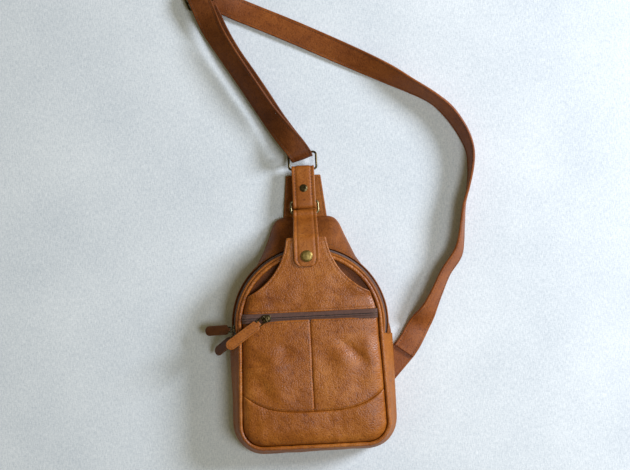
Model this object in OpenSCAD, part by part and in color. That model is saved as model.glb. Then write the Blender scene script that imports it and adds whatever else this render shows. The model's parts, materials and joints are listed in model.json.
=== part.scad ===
// Leather sling bag lying on its back: +X to the right, +Y towards the bag's top, +Z out of the front.
// The origin is on the back panel's resting face, below the centre of the front arch.

/* [Body] */
// Radius of the front arch, at the middle of its piping
arch_r = 75; // [74:0.5:76]
// Lowest edge of the front panel, below the arch centre
front_bottom = 130; // [124:1:134]
// Half width of the front panel at its foot
front_foot_half = 79; // [78:0.5:80]
// Half width of the back panel
back_half = 86; // [85:0.5:87]
// Lowest edge of the back panel, below the arch centre
back_bottom = 137; // [134:1:139]
// Highest edge of the hood, above the arch centre
hood_top = 114; // [113:0.5:115]
// Thickness of one layer of body leather
leather = 2.2; // [1.8:0.1:2.4]

/* [Heights above the back face] */
// Underside of the main front panel
panel_z = 35.4; // [35:0.1:36]
// Underside of the outer pocket panels and the overlay
pocket_z = 44; // [43.8:0.1:44.4]
// Middle of the front piping
piping_z = 39; // [38.8:0.1:39.2]

/* [Front pocket] */
// Middle line of the pocket zip
pocket_zip_y = 9; // [8.8:0.1:9.2]
// Half length of the pocket zip
pocket_zip_half = 69.5; // [66:0.5:70]
// Highest edge of the overlay's tongue
tongue_top = 93; // [91:0.5:94]
// Half width of the tongue
tongue_half = 20.5; // [19:0.5:21]

/* [Main zip] */
// Radius of the zip's middle line round the arch centre
zip_r = 80; // [79.8:0.1:80.2]
// Height of the zip's middle line
zip_z = 33; // [32.8:0.1:33.2]
// Where the zip ends, below the arch centre
zip_end_y = 14; // [13.5:0.5:14]
// How far the first main slider is past the left end of the arch centre line
slider_a_angle = 181.1; // [180.9:0.1:181.2]
// Where the second main slider is parked
slider_b_angle = 187.2; // [187.1:0.1:187.2]

/* [Snap strap and connector] */
// Centre of the snap, above the arch centre
snap_y = 73; // [71:0.5:75]
// Free end of the snap strap
snap_strap_end = 62; // [60:0.5:63]
// Lower bar of the lower ring
ring_bar_y = 119; // [118.5:0.5:119.5]
// Height of that bar
ring_bar_z = 17; // [16.5:0.5:17.5]
// How far the connector falls away towards its end, in degrees
connector_fall = 7; // [6:0.5:8]
// Width of the connector loop
loop_w = 24.7; // [24:0.1:25]

/* [Shoulder strap] */
// Width of the strap
strap_w = 25; // [24:0.5:25]
// Thickness of the strap, both layers
strap_t = 2.8; // [2.4:0.1:3]

/* [Hidden] */
$fn = 64;

tan_leather = [0.70, 0.42, 0.20];
dark_leather = [0.33, 0.18, 0.09];
lining_grey = [0.36, 0.30, 0.26];
tape_brown = [0.36, 0.25, 0.21];
antique_brass = [0.36, 0.31, 0.18];
bright_brass = [0.72, 0.60, 0.28];

gap = 0.2;                 // between two pieces that are sewn face to face
fold_y = 13.5;             // the front folds here when the main zip is open
fold_angle = asin(fold_y / arch_r);
piping_r = 1.9;
corner_r = 24;             // front panel's lower corners
side_tilt = front_foot_half - arch_r;
corner_y = -(front_bottom - corner_r);

// ---- outlines ----

function arc(centre, r, from, to, steps) =
    [for (i = [0:steps]) let (a = from + (to - from) * i / steps) centre + r * [cos(a), sin(a)]];

// Lower part of the front outline, from the right side round the foot to the left side
function front_lower(d, top_y, steps = 6) = let (
    x_at = function (y) arch_r + d + side_tilt * y / corner_y,
    foot_x = front_foot_half - corner_r
) concat(
    [for (i = [0:steps - 1]) let (y = top_y + (corner_y - top_y) * i / steps)
        [y > 0 ? sqrt(pow(arch_r + d, 2) - y * y) : x_at(y), y]],
    arc([foot_x, corner_y], corner_r + d, 0, -90, 6),
    [for (i = [1:4]) [foot_x * (1 - i / 2.5), -front_bottom - d]],
    arc([-foot_x, corner_y], corner_r + d, 270, 180, 6),
    [for (i = [steps - 1:-1:0]) let (y = top_y + (corner_y - top_y) * i / steps)
        [-(y > 0 ? sqrt(pow(arch_r + d, 2) - y * y) : x_at(y)), y]]
);

function front_arch(d, from_angle) = arc([0, 0], arch_r + d, 180 - from_angle, from_angle, 40);

// Distance of the back outline's upper part from the arch centre: a flank, the top and the side, blended
flank_nx = 0.905;
flank_ny = 0.425;
flank_d = 80;
blend_p = 24;
function back_r(a) = let (
    flank = flank_d / (flank_nx * abs(cos(a)) + flank_ny * sin(a)),
    top = hood_top / max(sin(a), 0.01),
    side = back_half / max(abs(cos(a)), 0.01)
) pow(pow(1 / flank, blend_p) + pow(1 / top, blend_p) + pow(1 / side, blend_p), -1 / blend_p);

end_angle = asin(zip_end_y / zip_r);     // the zip reaches this far below the arch centre
function back_upper(d, steps = 44) = [for (i = [0:steps])
    let (a = 180 + end_angle - (180 + 2 * end_angle) * i / steps) (back_r(a) + d) * [cos(a), sin(a)]];

back_corner_r = 32;
back_side_y = back_r(-end_angle) * sin(-end_angle);
function back_lower(d, steps = 6, drop = 0) = let (
    foot_x = back_half - back_corner_r,
    foot_y = -(back_bottom - back_corner_r),
    start_x = back_r(-end_angle) * cos(end_angle) + d,
    side = [for (i = [0:steps - 1]) let (t = i / steps)
        [start_x + (back_half + d - start_x) * min(1, 3 * t), back_side_y - drop + (foot_y - back_side_y + drop) * t]]
) concat(
    side,
    arc([foot_x, foot_y], back_corner_r + d, 0, -90, 6),
    [for (i = [1:4]) [foot_x * (1 - i / 2.5), -back_bottom - d]],
    arc([-foot_x, foot_y], back_corner_r + d, 270, 180, 6),
    [for (i = [steps - 1:-1:0]) [-side[i][0], side[i][1]]]
);

function back_outline(d) = concat(back_upper(d), back_lower(d));
function front_outline(d) = concat(front_arch(d, 0.001), front_lower(d, 0));

module plate(outline, z, height) {
    translate([0, 0, z]) linear_extrude(height) polygon(outline);
}

// A solid through rings that all have the same number of points
module skin(rings) {
    n = len(rings[0]);
    m = len(rings);
    polyhedron(
        points = [for (r = rings) each r],
        faces = concat(
            [[for (i = [0:n - 1]) i]],
            [for (j = [0:m - 2], i = [0:n - 1]) [j * n + i, (j + 1) * n + i, j * n + (i + 1) % n]],
            [for (j = [0:m - 2], i = [0:n - 1]) [j * n + (i + 1) % n, (j + 1) * n + i, (j + 1) * n + (i + 1) % n]],
            [[for (i = [n - 1:-1:0]) (m - 1) * n + i]]
        )
    );
}

function unit(v) = v / norm(v);
function along(points, i) = unit(points[min(i + 1, len(points) - 1)] - points[max(i - 1, 0)]);

// A bead of radius r that follows a plan outline at height z
module bead(outline, r, z, sides = 10) {
    skin([for (i = [0:len(outline) - 1]) let (t = along(outline, i), out = [-t[1], t[0]])
        [for (k = [0:sides - 1]) let (a = 360 * k / sides)
            [outline[i][0] + r * cos(a) * out[0], outline[i][1] + r * cos(a) * out[1], z + r * sin(a)]]]);
}

// ---- shell ----

module notches() {
    translate([0, 0, -1]) linear_extrude(leather + 2) {
        polygon([[-25.2, 104], [25.2, 104], [25.2, 130], [-25.2, 130]]);
        anchor_plan(0.2);
    }
}

module back_panel() {
    color(tan_leather) difference() {
        plate(back_outline(0), 0, leather);
        notches();
    }
}

module back_tab() {
    color(dark_leather)
        plate([[-25, 104.2], [25, 104.2], [19, 161], [-19, 161]], 0, leather);
}

anchor_at = [96, -42];
anchor_heading = 47;
anchor_w = 25.6;
module anchor_plan(d) {
    translate(anchor_at) rotate(anchor_heading)
        translate([-26 - d, -anchor_w / 2 - d]) square([38 + 2 * d, anchor_w + 2 * d]);
}

module strap_anchor() {
    color(tan_leather) linear_extrude(leather - 0.1) anchor_plan(0);
}

gusset_top = piping_z - piping_r - 0.6;
module gusset() {
    front = front_lower(0, -zip_end_y - 2.2);
    back = back_lower(0, drop = 1);
    wall = 2.4;
    color(tan_leather) skin([for (i = [0:len(front) - 1])
        let (
            t = along(front, i), out = [-t[1], t[0]],
            f = front[i], b = back[i],
            ring = [
                [b, leather + gap], [b + 4 * out, 13], [b * 0.6 + f * 0.4 + 3 * out, 25],
                [f + 3 * out, gusset_top], [f + 0.6 * out, gusset_top],
                [b * 0.6 + f * 0.4 + (3 - wall) * out, 24.4], [b + (4 - wall) * out, 13],
                [b - wall * out, leather + gap]
            ]
        )
        [for (p = ring) [p[0][0], p[0][1], p[1]]]]);
}

hood_edge_r = zip_r + 3.4;
hood_edge_z = 28.4;
module hood() {
    steps = 44;
    color(tan_leather) skin([for (i = [0:steps])
        let (
            a = 180 + end_angle - (180 + 2 * end_angle) * i / steps,
            b = back_r(a), e = hood_edge_r, full = 3.5,
            at = function (t) e + (b - e) * t,
            ring = [
                [e, hood_edge_z], [at(0.35) + full * 0.6, 24], [at(0.75) + full, 14.5], [b, 6.5],
                [b, leather + gap], [b - 2.2, leather + gap], [at(0.75) + full - 2.2, 12.4],
                [at(0.35) + full * 0.6 - 2, 21.6], [e - 1.2, hood_edge_z - 1.8]
            ]
        )
        [for (p = ring) [p[0] * cos(a), p[0] * sin(a), p[1]]]]);
}

// Lining of the main compartment: a floor and an upright wall
module main_lining() {
    sheet = 0.6;
    in = -5.5;
    color(lining_grey) {
        plate(front_outline(in), leather + gap, sheet);
        difference() {
            plate(front_outline(in), leather + gap + sheet, 21);
            plate(front_outline(in - sheet), leather, 30);
        }
    }
}

// ---- front panel, piping and main zip ----

function below_fold(d) = concat(
    front_lower(d, fold_y - gap / 2, 8), []
);
function above_fold(d) = let (a = asin((fold_y + gap / 2) / (arch_r + d))) front_arch(d, a);

panel_in = -piping_r - gap;
module front_panel() {
    color(tan_leather) plate(below_fold(panel_in), panel_z, 2);
}

module flap_panel() {
    color(tan_leather) plate(above_fold(panel_in), panel_z, 2);
}

module flap_lining() {
    color(lining_grey) plate(above_fold(panel_in - 2), panel_z - 0.8, 0.6);
}

module front_piping() {
    color(tan_leather) bead(front_lower(0, fold_y - 0.4, 8), piping_r, piping_z);
}

// A section in radius and height, turned round the arch from one angle to another
module turned(from, to) {
    rotate([0, 0, from]) rotate_extrude(angle = to - from, $fn = 180) children();
}

module flap_piping() {
    color(tan_leather) turned(fold_angle + 0.4, 180 - fold_angle - 0.4)
        translate([arch_r, piping_z]) circle(piping_r, $fn = 32);
}

module flap_strip() {
    color(tan_leather) turned(fold_angle + 0.4, 180 - fold_angle - 0.4)
        translate([zip_r - 1.5, piping_z - 0.4]) circle(1.5, $fn = 32);
}

// The zip's section runs down and out: "down" is measured along the tape, "depth" into the bag
zip_down = unit([2.4, -5]);
zip_in = [zip_down[1], -zip_down[0]];
function zip_at(down, depth) = [zip_r, zip_z] + down * zip_down + depth * zip_in;

tape_edge = 0.4;
tape_w = 4.6;
tape_t = 0.6;
coil_at = 1.25;
coil_r = 0.85;
module tape_section(side) {
    polygon([zip_at(side * tape_edge, 0), zip_at(side * tape_w, 0),
        zip_at(side * tape_w, tape_t), zip_at(side * tape_edge, tape_t)]);
}
module coil_section(side) {
    translate(zip_at(side * coil_at, tape_t + coil_r + 0.05)) circle(coil_r, $fn = 24);
}

zip_fold_angle = asin((fold_y + 0.4) / zip_r);
module zip_whole() { turned(-end_angle + 0.3, 180 + end_angle - 0.3) children(); }
module zip_flap() { turned(zip_fold_angle, 180 - zip_fold_angle) children(); }
module zip_ends() {
    low = zip_fold_angle - 0.6;
    turned(-end_angle + 0.3, low) children();
    turned(180 - low, 180 + end_angle - 0.3) children();
}

module main_zip_tape_back() { color(tape_brown) zip_whole() tape_section(1); }
module main_coil_back() { color(tape_brown) zip_whole() coil_section(1); }
module flap_zip_tape() { color(tape_brown) zip_flap() tape_section(-1); }
module flap_coil() { color(tape_brown) zip_flap() coil_section(-1); }
module main_zip_tape_ends() { color(tape_brown) zip_ends() tape_section(-1); }
module main_coil_ends() { color(tape_brown) zip_ends() coil_section(-1); }

module main_zip_stops() {
    color(antique_brass) for (a = [-end_angle - 0.9, 180 + end_angle])
        turned(a, a + 0.9) polygon([zip_at(-2.4, -0.6), zip_at(2.4, -0.6), zip_at(2.4, 2.6), zip_at(-2.4, 2.6)]);
}

slider_half = 2.8;         // half of a main slider's length, in degrees of its arc
slider_w = 3.6;
module main_slider(angle, turn) {
    plate_gap = 0.25;
    color(antique_brass) {
        turned(angle - slider_half, angle + slider_half) union() {
            polygon([zip_at(-slider_w, -plate_gap), zip_at(slider_w, -plate_gap),
                zip_at(slider_w, -1.5), zip_at(-slider_w, -1.5)]);
            polygon([zip_at(-0.25, -1), zip_at(0.25, -1), zip_at(0.25, 3), zip_at(-0.25, 3)]);
            polygon([zip_at(-2.8, 2.6), zip_at(2.8, 2.6), zip_at(2.8, 3.6), zip_at(-2.8, 3.6)]);
        }
        rotate([0, 0, angle]) at_zip_face() rotate([0, 0, turn]) bail();
    }
}

// Places a child on the slider's outer face: +X down the tape, +Y along the travel, +Z away from the bag
module at_zip_face() {
    tilt = atan2(zip_down[0], -zip_down[1]);
    translate([zip_at(0, -1.5)[0], 0, zip_at(0, -1.5)[1]]) rotate([0, 90 - tilt, 0]) children();
}

// The bridge on a slider that holds its pull, with its hole along Y
link_wire = 0.6;
link_bar = 0.7;
bail_len = 5.6;
bail_h = 2.6;
bail_hole = 1.1;           // height of the hole over the slider's face
module bail() {
    difference() {
        translate([-bail_len / 2, -1.2, -0.4]) cube([bail_len, 2.4, bail_h + 0.4]);
        translate([0, -2, bail_hole]) rotate([-90, 0, 0]) cylinder(r = link_bar + 0.08, h = 4, $fn = 32);
    }
}

module main_slider_a() { main_slider(slider_a_angle, pull_a_turn); }
module main_slider_b() { main_slider(slider_b_angle, pull_b_turn); }

// ---- pulls: a wire link and a leather leaf, along +X from the bail's hole ----

// A wire frame: the bar through the bail, two sides, and the far bar inside the leaf's neck
module pull_link(len, half) {
    for (y = [-half, half]) translate([0, y, 0]) rotate([0, 90, 0]) cylinder(r = link_wire, h = len, $fn = 24);
    for (x = [0, len]) translate([x, -half - link_wire, 0]) rotate([-90, 0, 0])
        cylinder(r = link_bar, h = 2 * (half + link_wire), $fn = 32);
}

// A leather leaf whose narrow neck goes round the link's far bar
module pull_leaf(at, len, w, half) {
    neck = half - link_wire - 0.15;
    difference() {
        translate([0, 0, -leaf_t / 2]) linear_extrude(leaf_t) {
            translate([at - 1.7, -neck]) square([4, 2 * neck]);
            translate([at + 1, -w / 2]) square([len - w / 2 - 1, w]);
            translate([at + len - w / 2, 0]) circle(w / 2, $fn = 48);
        }
        translate([at, -w, 0]) rotate([-90, 0, 0]) cylinder(r = link_bar + 0.08, h = 2 * w, $fn = 32);
    }
}

leaf_t = 2.8;
leaf_w = 10.5;
main_link = 6;
main_link_half = 2.6;
main_leaf = 30;
pull_a_turn = 3;           // from straight down the tape, along the travel
pull_a_lift = 36;          // off the slider's face
pull_b_turn = 26;
pull_b_lift = 21;

module at_main_pull(angle, turn, lift) {
    rotate([0, 0, angle]) at_zip_face() translate([0, 0, bail_hole])
        rotate([0, 0, turn]) rotate([0, -lift, 0]) children();
}
module at_pull_a() { at_main_pull(slider_a_angle, pull_a_turn, pull_a_lift) children(); }
module at_pull_b() { at_main_pull(slider_b_angle, pull_b_turn, pull_b_lift) children(); }

module main_pull_a_link() { color(antique_brass) at_pull_a() pull_link(main_link, main_link_half); }
module main_pull_a() { color(dark_leather) at_pull_a() pull_leaf(main_link, main_leaf, leaf_w, main_link_half); }
module main_pull_b_link() { color(antique_brass) at_pull_b() pull_link(main_link, main_link_half); }
module main_pull_b() { color(dark_leather) at_pull_b() pull_leaf(main_link, main_leaf, leaf_w, main_link_half); }

// ---- front pocket ----

skirt = 2;
cover_in = -piping_r - 0.5;
seam_half = 0.3;           // half of the gap in a seam between two panels
panel_top = pocket_zip_y - 4.6;
pocket_seam_y = -92;       // lowest point of the curved seam
pocket_seam_end = -67;
pocket_seam_x = 76;

// The curved seam between the pocket panels and the bottom panel, from left to right
function curved_seam(d) = [for (i = [0:24]) let (u = -1 + i / 12)
    [u * (pocket_seam_x + 4), pocket_seam_y + d + (pocket_seam_end - pocket_seam_y) * pow(abs(u), 3.2)]];

module pocket_area() { polygon(front_outline(cover_in)); }
module above_seam() { polygon(concat(curved_seam(seam_half), [[90, panel_top], [-90, panel_top]])); }
module below_seam() { polygon(concat(curved_seam(-seam_half), [[90, -150], [-90, -150]])); }

module panel_plan(side) {
    intersection() {
        pocket_area();
        above_seam();
        translate([side > 0 ? seam_half : -100 - seam_half, -150]) square([100, 200]);
    }
}

// A flat cover with a skirt along the bag's edge, so that the pocket has room under it
module pocket_cover(z_low) {
    translate([0, 0, pocket_z]) linear_extrude(leather) children();
    translate([0, 0, z_low]) linear_extrude(pocket_z - z_low) intersection() {
        children();
        difference() {
            pocket_area();
            polygon(front_outline(cover_in - skirt));
        }
    }
}

skirt_z = panel_z + 2 + gap;
module pocket_panel_left() { color(tan_leather) pocket_cover(skirt_z) panel_plan(-1); }
module pocket_panel_right() { color(tan_leather) pocket_cover(skirt_z) panel_plan(1); }
module bottom_panel() {
    color(tan_leather) pocket_cover(skirt_z) intersection() {
        pocket_area();
        below_seam();
    }
}

module pocket_lining() {
    in = cover_in - skirt - 0.6;
    color(lining_grey) {
        for (z = [skirt_z, pocket_z - 0.8]) translate([0, 0, z]) linear_extrude(0.5) intersection() {
            polygon(front_outline(in));
            translate([-100, -88]) square([200, 88 + panel_top - 0.6]);
        }
    }
}

// The overlay's side follows the piping, then a hollow curve up to the tongue
overlay_curve = [95, 101];
overlay_curve_r = 74.4;
overlay_low = fold_y + gap / 2;
module overlay_plan() {
    difference() {
        intersection() {
            union() {
                polygon(front_outline(cover_in));
                translate([-tongue_half, 40]) square([2 * tongue_half, tongue_top - 40]);
            }
            translate([-100, overlay_low]) square([200, tongue_top - overlay_low]);
        }
        for (s = [-1, 1]) translate([s * overlay_curve[0], overlay_curve[1]]) circle(overlay_curve_r, $fn = 160);
    }
}

module yoke_overlay() {
    color(tan_leather) difference() {
        union() {
            translate([0, 0, pocket_z]) linear_extrude(leather) overlay_plan();
            translate([0, 0, skirt_z]) linear_extrude(pocket_z - skirt_z) intersection() {
                overlay_plan();
                difference() {
                    polygon(front_outline(cover_in));
                    polygon(front_outline(cover_in - skirt));
                }
                translate([-100, 0]) square([200, 33]);
            }
        }
        translate([0, snap_y, pocket_z - 1]) cylinder(r = 1.8, h = 5, $fn = 32);
    }
}

module pocket_tape(side) {
    translate([-pocket_zip_half, pocket_zip_y + (side > 0 ? tape_edge : -4.4), pocket_z + 0.2])
        cube([2 * pocket_zip_half, 4.4 - tape_edge, tape_t]);
}
module pocket_coil(side) {
    translate([-pocket_zip_half + 2, pocket_zip_y + side * coil_at, pocket_z + 0.15 - coil_r])
        rotate([0, 90, 0]) cylinder(r = coil_r, h = 2 * pocket_zip_half - 4, $fn = 24);
}
module pocket_zip_tape_upper() { color(tape_brown) pocket_tape(1); }
module pocket_zip_tape_lower() { color(tape_brown) pocket_tape(-1); }
module pocket_coil_upper() { color(tape_brown) pocket_coil(1); }
module pocket_coil_lower() { color(tape_brown) pocket_coil(-1); }

module pocket_zip_stops() {
    color(antique_brass) for (x = [-pocket_zip_half + 0.4, pocket_zip_half - 1.8])
        translate([x, pocket_zip_y - 2.4, pocket_z - 1.6]) cube([1.4, 4.8, 1.6]);
}

pocket_slider_x = -46;
slider_len = 9.5;
pocket_face = pocket_z + 2.7;
pocket_pull_turn = 214.3;  // plan heading of the pocket pull
pocket_link = 9;
pocket_link_half = 3;
module at_pocket_face() { translate([pocket_slider_x - 1, pocket_zip_y, pocket_face]) rotate([0, 0, pocket_pull_turn]) children(); }

module pocket_slider() {
    color(antique_brass) {
        translate([pocket_slider_x, pocket_zip_y, 0]) {
            translate([-slider_len / 2, -3.9, pocket_face - 1.3]) cube([slider_len, 7.8, 1.3]);
            translate([-slider_len / 2, -0.25, pocket_z - 2.6]) cube([slider_len, 0.5, 4.2]);
            translate([-slider_len / 2, -2.9, pocket_z - 2.9]) cube([slider_len, 5.8, 1]);
        }
        at_pocket_face() bail();
    }
}

module at_pocket_pull() { at_pocket_face() translate([0, 0, bail_hole]) children(); }
module pocket_pull_link() { color(antique_brass) at_pocket_pull() pull_link(pocket_link, pocket_link_half); }
module pocket_pull() { color(tan_leather) at_pocket_pull() pull_leaf(pocket_link, 42, 11, pocket_link_half); }

// ---- snap strap ----

// The strap's side view: from the ring's lower bar over the hood to the tongue
strap_bar_r = 1.6;         // the strap's inner radius round the bar
snap_t = 2.4;
snap_over = pocket_z + leather + gap;
module snap_strap_side() {
    bar = [ring_bar_y, ring_bar_z];
    outer = strap_bar_r + snap_t;
    difference() {
        polygon([
            bar + [0, strap_bar_r], bar + [0, outer], bar + [-5, outer + 1],
            [tongue_top + 1, snap_over + snap_t], [snap_strap_end - 2, snap_over + snap_t],
            [snap_strap_end - 2, snap_over], [tongue_top + 0.4, snap_over], bar + [-4, strap_bar_r]
        ]);
        translate(bar) circle(strap_bar_r, $fn = 64);
    }
}

snap_half_root = 12.6;
snap_half_end = 13.9;
module snap_strap_plan() {
    intersection() {
        polygon([[-snap_half_root, 130], [snap_half_root, 130], [snap_half_end, snap_strap_end],
            [-snap_half_end, snap_strap_end]]);
        union() {
            translate([-20, snap_strap_end + 9]) square([40, 70]);
            translate([-snap_half_end + 9, snap_strap_end]) square([2 * snap_half_end - 18, 12]);
            for (s = [-1, 1]) translate([s * (snap_half_end - 9), snap_strap_end + 9]) circle(9, $fn = 64);
        }
    }
}

module snap_strap() {
    color(tan_leather) difference() {
        intersection() {
            translate([-20, 0, 0]) rotate([90, 0, 90]) linear_extrude(40) snap_strap_side();
            translate([0, 0, 0]) linear_extrude(60) snap_strap_plan();
        }
        translate([0, snap_y, snap_over - 1]) cylinder(r = 2.2, h = 5, $fn = 32);
    }
}

// The strap's other end, sewn down on the hood and passing under the bar
module snap_strap_anchor() {
    bar = [ring_bar_y, ring_bar_z];
    color(tan_leather) translate([-snap_half_root, 0, 0]) rotate([90, 0, 90]) linear_extrude(2 * snap_half_root)
        difference() {
            polygon([bar + [0, -strap_bar_r], bar + [0, -strap_bar_r - 2], bar + [-4, -strap_bar_r - 1.2],
                [108, 18.4], [104, 20.6], [104.6, 22.6], [109, 20.2], bar + [-4, -strap_bar_r + 0.6]]);
            translate(bar) circle(strap_bar_r, $fn = 64);
        }
}

cap_r = 6.2;
module snap_cap() {
    top = snap_over + snap_t;
    color(bright_brass) translate([0, snap_y, 0]) {
        translate([0, 0, top + 0.1]) rotate_extrude($fn = 64)
            polygon([[0, 0], [cap_r, 0], [cap_r, 0.6], [cap_r - 0.8, 1.3], [4, 1.8], [0, 2]]);
        translate([0, 0, snap_over + 1.1]) cylinder(r = 2.1, h = top - snap_over - 0.9, $fn = 32);
    }
}

// Socket: a ring in the strap that grips the stud's head
module snap_socket() {
    color(antique_brass) translate([0, snap_y, snap_over - 0.1]) difference() {
        cylinder(r = 2.15, h = 1.1, $fn = 32);
        translate([0, 0, -1]) cylinder(r = 1.7, h = 3, $fn = 32);
    }
}

module snap_stud() {
    color(antique_brass) translate([0, snap_y, 0]) {
        translate([0, 0, pocket_z - 0.9]) cylinder(r = 5, h = 0.8, $fn = 48);
        translate([0, 0, pocket_z - 0.2]) cylinder(r = 1, h = leather + gap + 0.9, $fn = 32);
    }
}

// ---- connector: lower ring, loop, rivet, upper ring ----

module at_connector() {
    translate([0, ring_bar_y, ring_bar_z]) rotate([-connector_fall, 0, 0]) children();
}

// A wire ring: a rounded rectangle between y0 and y1, at the wire's centre
module wire_ring(half, y0, y1, r, wire) {
    for (y = [y0, y1]) translate([-half + r, y, 0]) rotate([0, 90, 0])
        cylinder(r = wire, h = 2 * (half - r), $fn = 32);
    for (s = [-1, 1]) translate([s * half, y0 + r, 0]) rotate([-90, 0, 0])
        cylinder(r = wire, h = y1 - y0 - 2 * r, $fn = 32);
    for (s = [0, 1], t = [0, 1]) translate([(2 * s - 1) * (half - r), t ? y1 - r : y0 + r, 0])
        rotate([0, 0, s ? (t ? 0 : 270) : (t ? 90 : 180)])
            rotate_extrude(angle = 90, $fn = 64) translate([r, 0]) circle(wire, $fn = 32);
}

ring_top = 13.2;
loop_top = 48.6;
upper_ring_top = 67.4;
loop_in = 1.7;
loop_t = 2.2;
rivet_y = 27;

module lower_ring() { color(antique_brass) at_connector() wire_ring(14.7, 0, ring_top, 3.1, 1.15); }
module upper_ring() { color(antique_brass) at_connector() wire_ring(15, loop_top, upper_ring_top, 3, 1.2); }

module racetrack(r) {
    translate([ring_top, -r]) square([loop_top - ring_top, 2 * r]);
    for (y = [ring_top, loop_top]) translate([y, 0]) circle(r, $fn = 64);
}

module upper_loop() {
    color(tan_leather) at_connector() difference() {
        translate([-loop_w / 2, 0, 0]) rotate([90, 0, 90]) linear_extrude(loop_w) difference() {
            racetrack(loop_in + loop_t);
            racetrack(loop_in);
        }
        translate([0, rivet_y, -8]) cylinder(r = 1.6, h = 16, $fn = 32);
    }
}

module loop_rivet() {
    face = loop_in + loop_t + 0.05;
    color(antique_brass) at_connector() translate([0, rivet_y, 0]) {
        translate([0, 0, -face - 0.5]) cylinder(r = 1.5, h = 2 * face + 1, $fn = 32);
        translate([0, 0, face]) rotate_extrude($fn = 64)
            polygon([[0, 0], [4.3, 0], [4.1, 0.7], [2.6, 1.3], [0, 1.5]]);
        translate([0, 0, -face - 0.9]) cylinder(r = 3.8, h = 0.9, $fn = 48);
    }
}

// ---- shoulder strap, adjuster strap and adjuster ----

// Rows are x, y, z, then the plan heading and the lift of the strap's width, in degrees
strap_route = [
    [101, -37, 3.9, -43, 0], [109, -26, 3.2, -38, 0], [119, -9, 1.9, -33, -4], [130, 8, 4.6, -29, -20],
    [139, 25, 10, -27, -46], [150, 47, 13, -28, -66], [163, 65, 13.6, -34, -72], [169, 80, 13.6, -15, -74],
    [173, 100, 14, -8, -80], [176, 120, 14, -10, -86], [180, 138, 14, -12, -90], [184, 160, 14, -2, -92],
    [184, 180, 14, 9, -97], [177, 200, 13.6, 26, -106], [162, 222, 13.5, 40, -108], [145, 238, 13.6, 48, -106],
    [121, 253, 13, 58, -118], [90, 271, 9.6, 62, -142], [42, 296, 5.6, 63, -163], [-2, 318, 3, 63, -174],
    [-38, 336, 1.9, 60, -180], [-62, 350, 3.4, 48, -174], [-78, 364, 9.6, 34, -140], [-86, 377, 13.8, 44, -104],
    [-94, 384, 14, 84, -90], [-102, 382, 13.8, 150, -98], [-106, 375, 12, 188, -130]
];

// The doubled strap: from the adjuster down to the upper ring, round its bar, and back
loop_route = [
    [-97, 348.6, 4.6, 22, 6], [-92, 337, 3.8, 24, 8], [-84, 318, 4, 27, 10], [-72, 295, 4.6, 29, 12],
    [-57, 271, 5, 31, 12], [-43, 248, 5, 31, 12], [-29, 224, 4.6, 30, 8], [-15, 203, 4.2, 26, 0],
    [-7, 192, 4, 20, 0], [-2, 183, 4.6, 17, 0], [0, 178.8, 8.8, 17, 0], [-2, 183, 13.2, 17, 2],
    [-8, 192, 14, 20, 6], [-18, 205, 14.4, 26, 22], [-34, 228, 15.4, 30, 36], [-50, 254, 16.4, 31, 40],
    [-64, 277, 16.4, 30, 40], [-79, 302, 16, 28, 36], [-90, 322, 14.4, 25, 26], [-97, 339, 12, 23, 12],
    [-100, 348.6, 11.2, 22, 4]
];

function spline(rows, i, t) = let (
    p0 = rows[max(i - 1, 0)], p1 = rows[i], p2 = rows[i + 1], p3 = rows[min(i + 2, len(rows) - 1)]
) 0.5 * (2 * p1 + (p2 - p0) * t + (2 * p0 - 5 * p1 + 4 * p2 - p3) * t * t + (3 * p1 - p0 - 3 * p2 + p3) * t * t * t);

function route_rows(rows, per) = concat(
    [for (i = [0:len(rows) - 2], k = [0:per - 1]) spline(rows, i, k / per)],
    [rows[len(rows) - 1]]
);
function place(row) = [row[0], row[1], row[2]];

module flat_strap(rows, per, w, t) {
    fine = route_rows(rows, per);
    spots = [for (r = fine) place(r)];
    skin([for (i = [0:len(fine) - 1]) let (
        dir = along(spots, i), h = fine[i][3], l = fine[i][4],
        raw = [cos(h) * cos(l), sin(h) * cos(l), sin(l)],
        side = unit(raw - dir * (raw * dir)),
        up = cross(side, dir)
    ) [for (c = [[-1, -0.6], [-0.92, -1], [0.92, -1], [1, -0.6], [1, 0.6], [0.92, 1], [-0.92, 1], [-1, 0.6]])
        spots[i] + side * c[0] * w / 2 + up * c[1] * t / 2]]);
}

module shoulder_strap() { color(tan_leather) flat_strap(strap_route, 2, strap_w, strap_t); }
module adjuster_strap() { color(dark_leather) flat_strap(loop_route, 1, strap_w - 0.6, 2.6); }

adjuster_at = [-103, 360.4, 8.6];
adjuster_turn = 21.5;
adjuster_half = 16;
adjuster_len = 8.2;
adjuster_wire = 1.3;
module at_adjuster() { translate(adjuster_at) rotate([0, 0, adjuster_turn]) rotate([-4, -8, 0]) children(); }

module adjuster_frame() {
    color(antique_brass) at_adjuster() wire_ring(adjuster_half, -adjuster_len, adjuster_len, 2.5, adjuster_wire);
}

module adjuster_bar() {
    end = adjuster_half - adjuster_wire - 0.05;
    color(antique_brass) at_adjuster() rotate([0, 90, 0])
        translate([0, 0, -end]) cylinder(r = adjuster_wire, h = 2 * end, $fn = 32);
}

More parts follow.
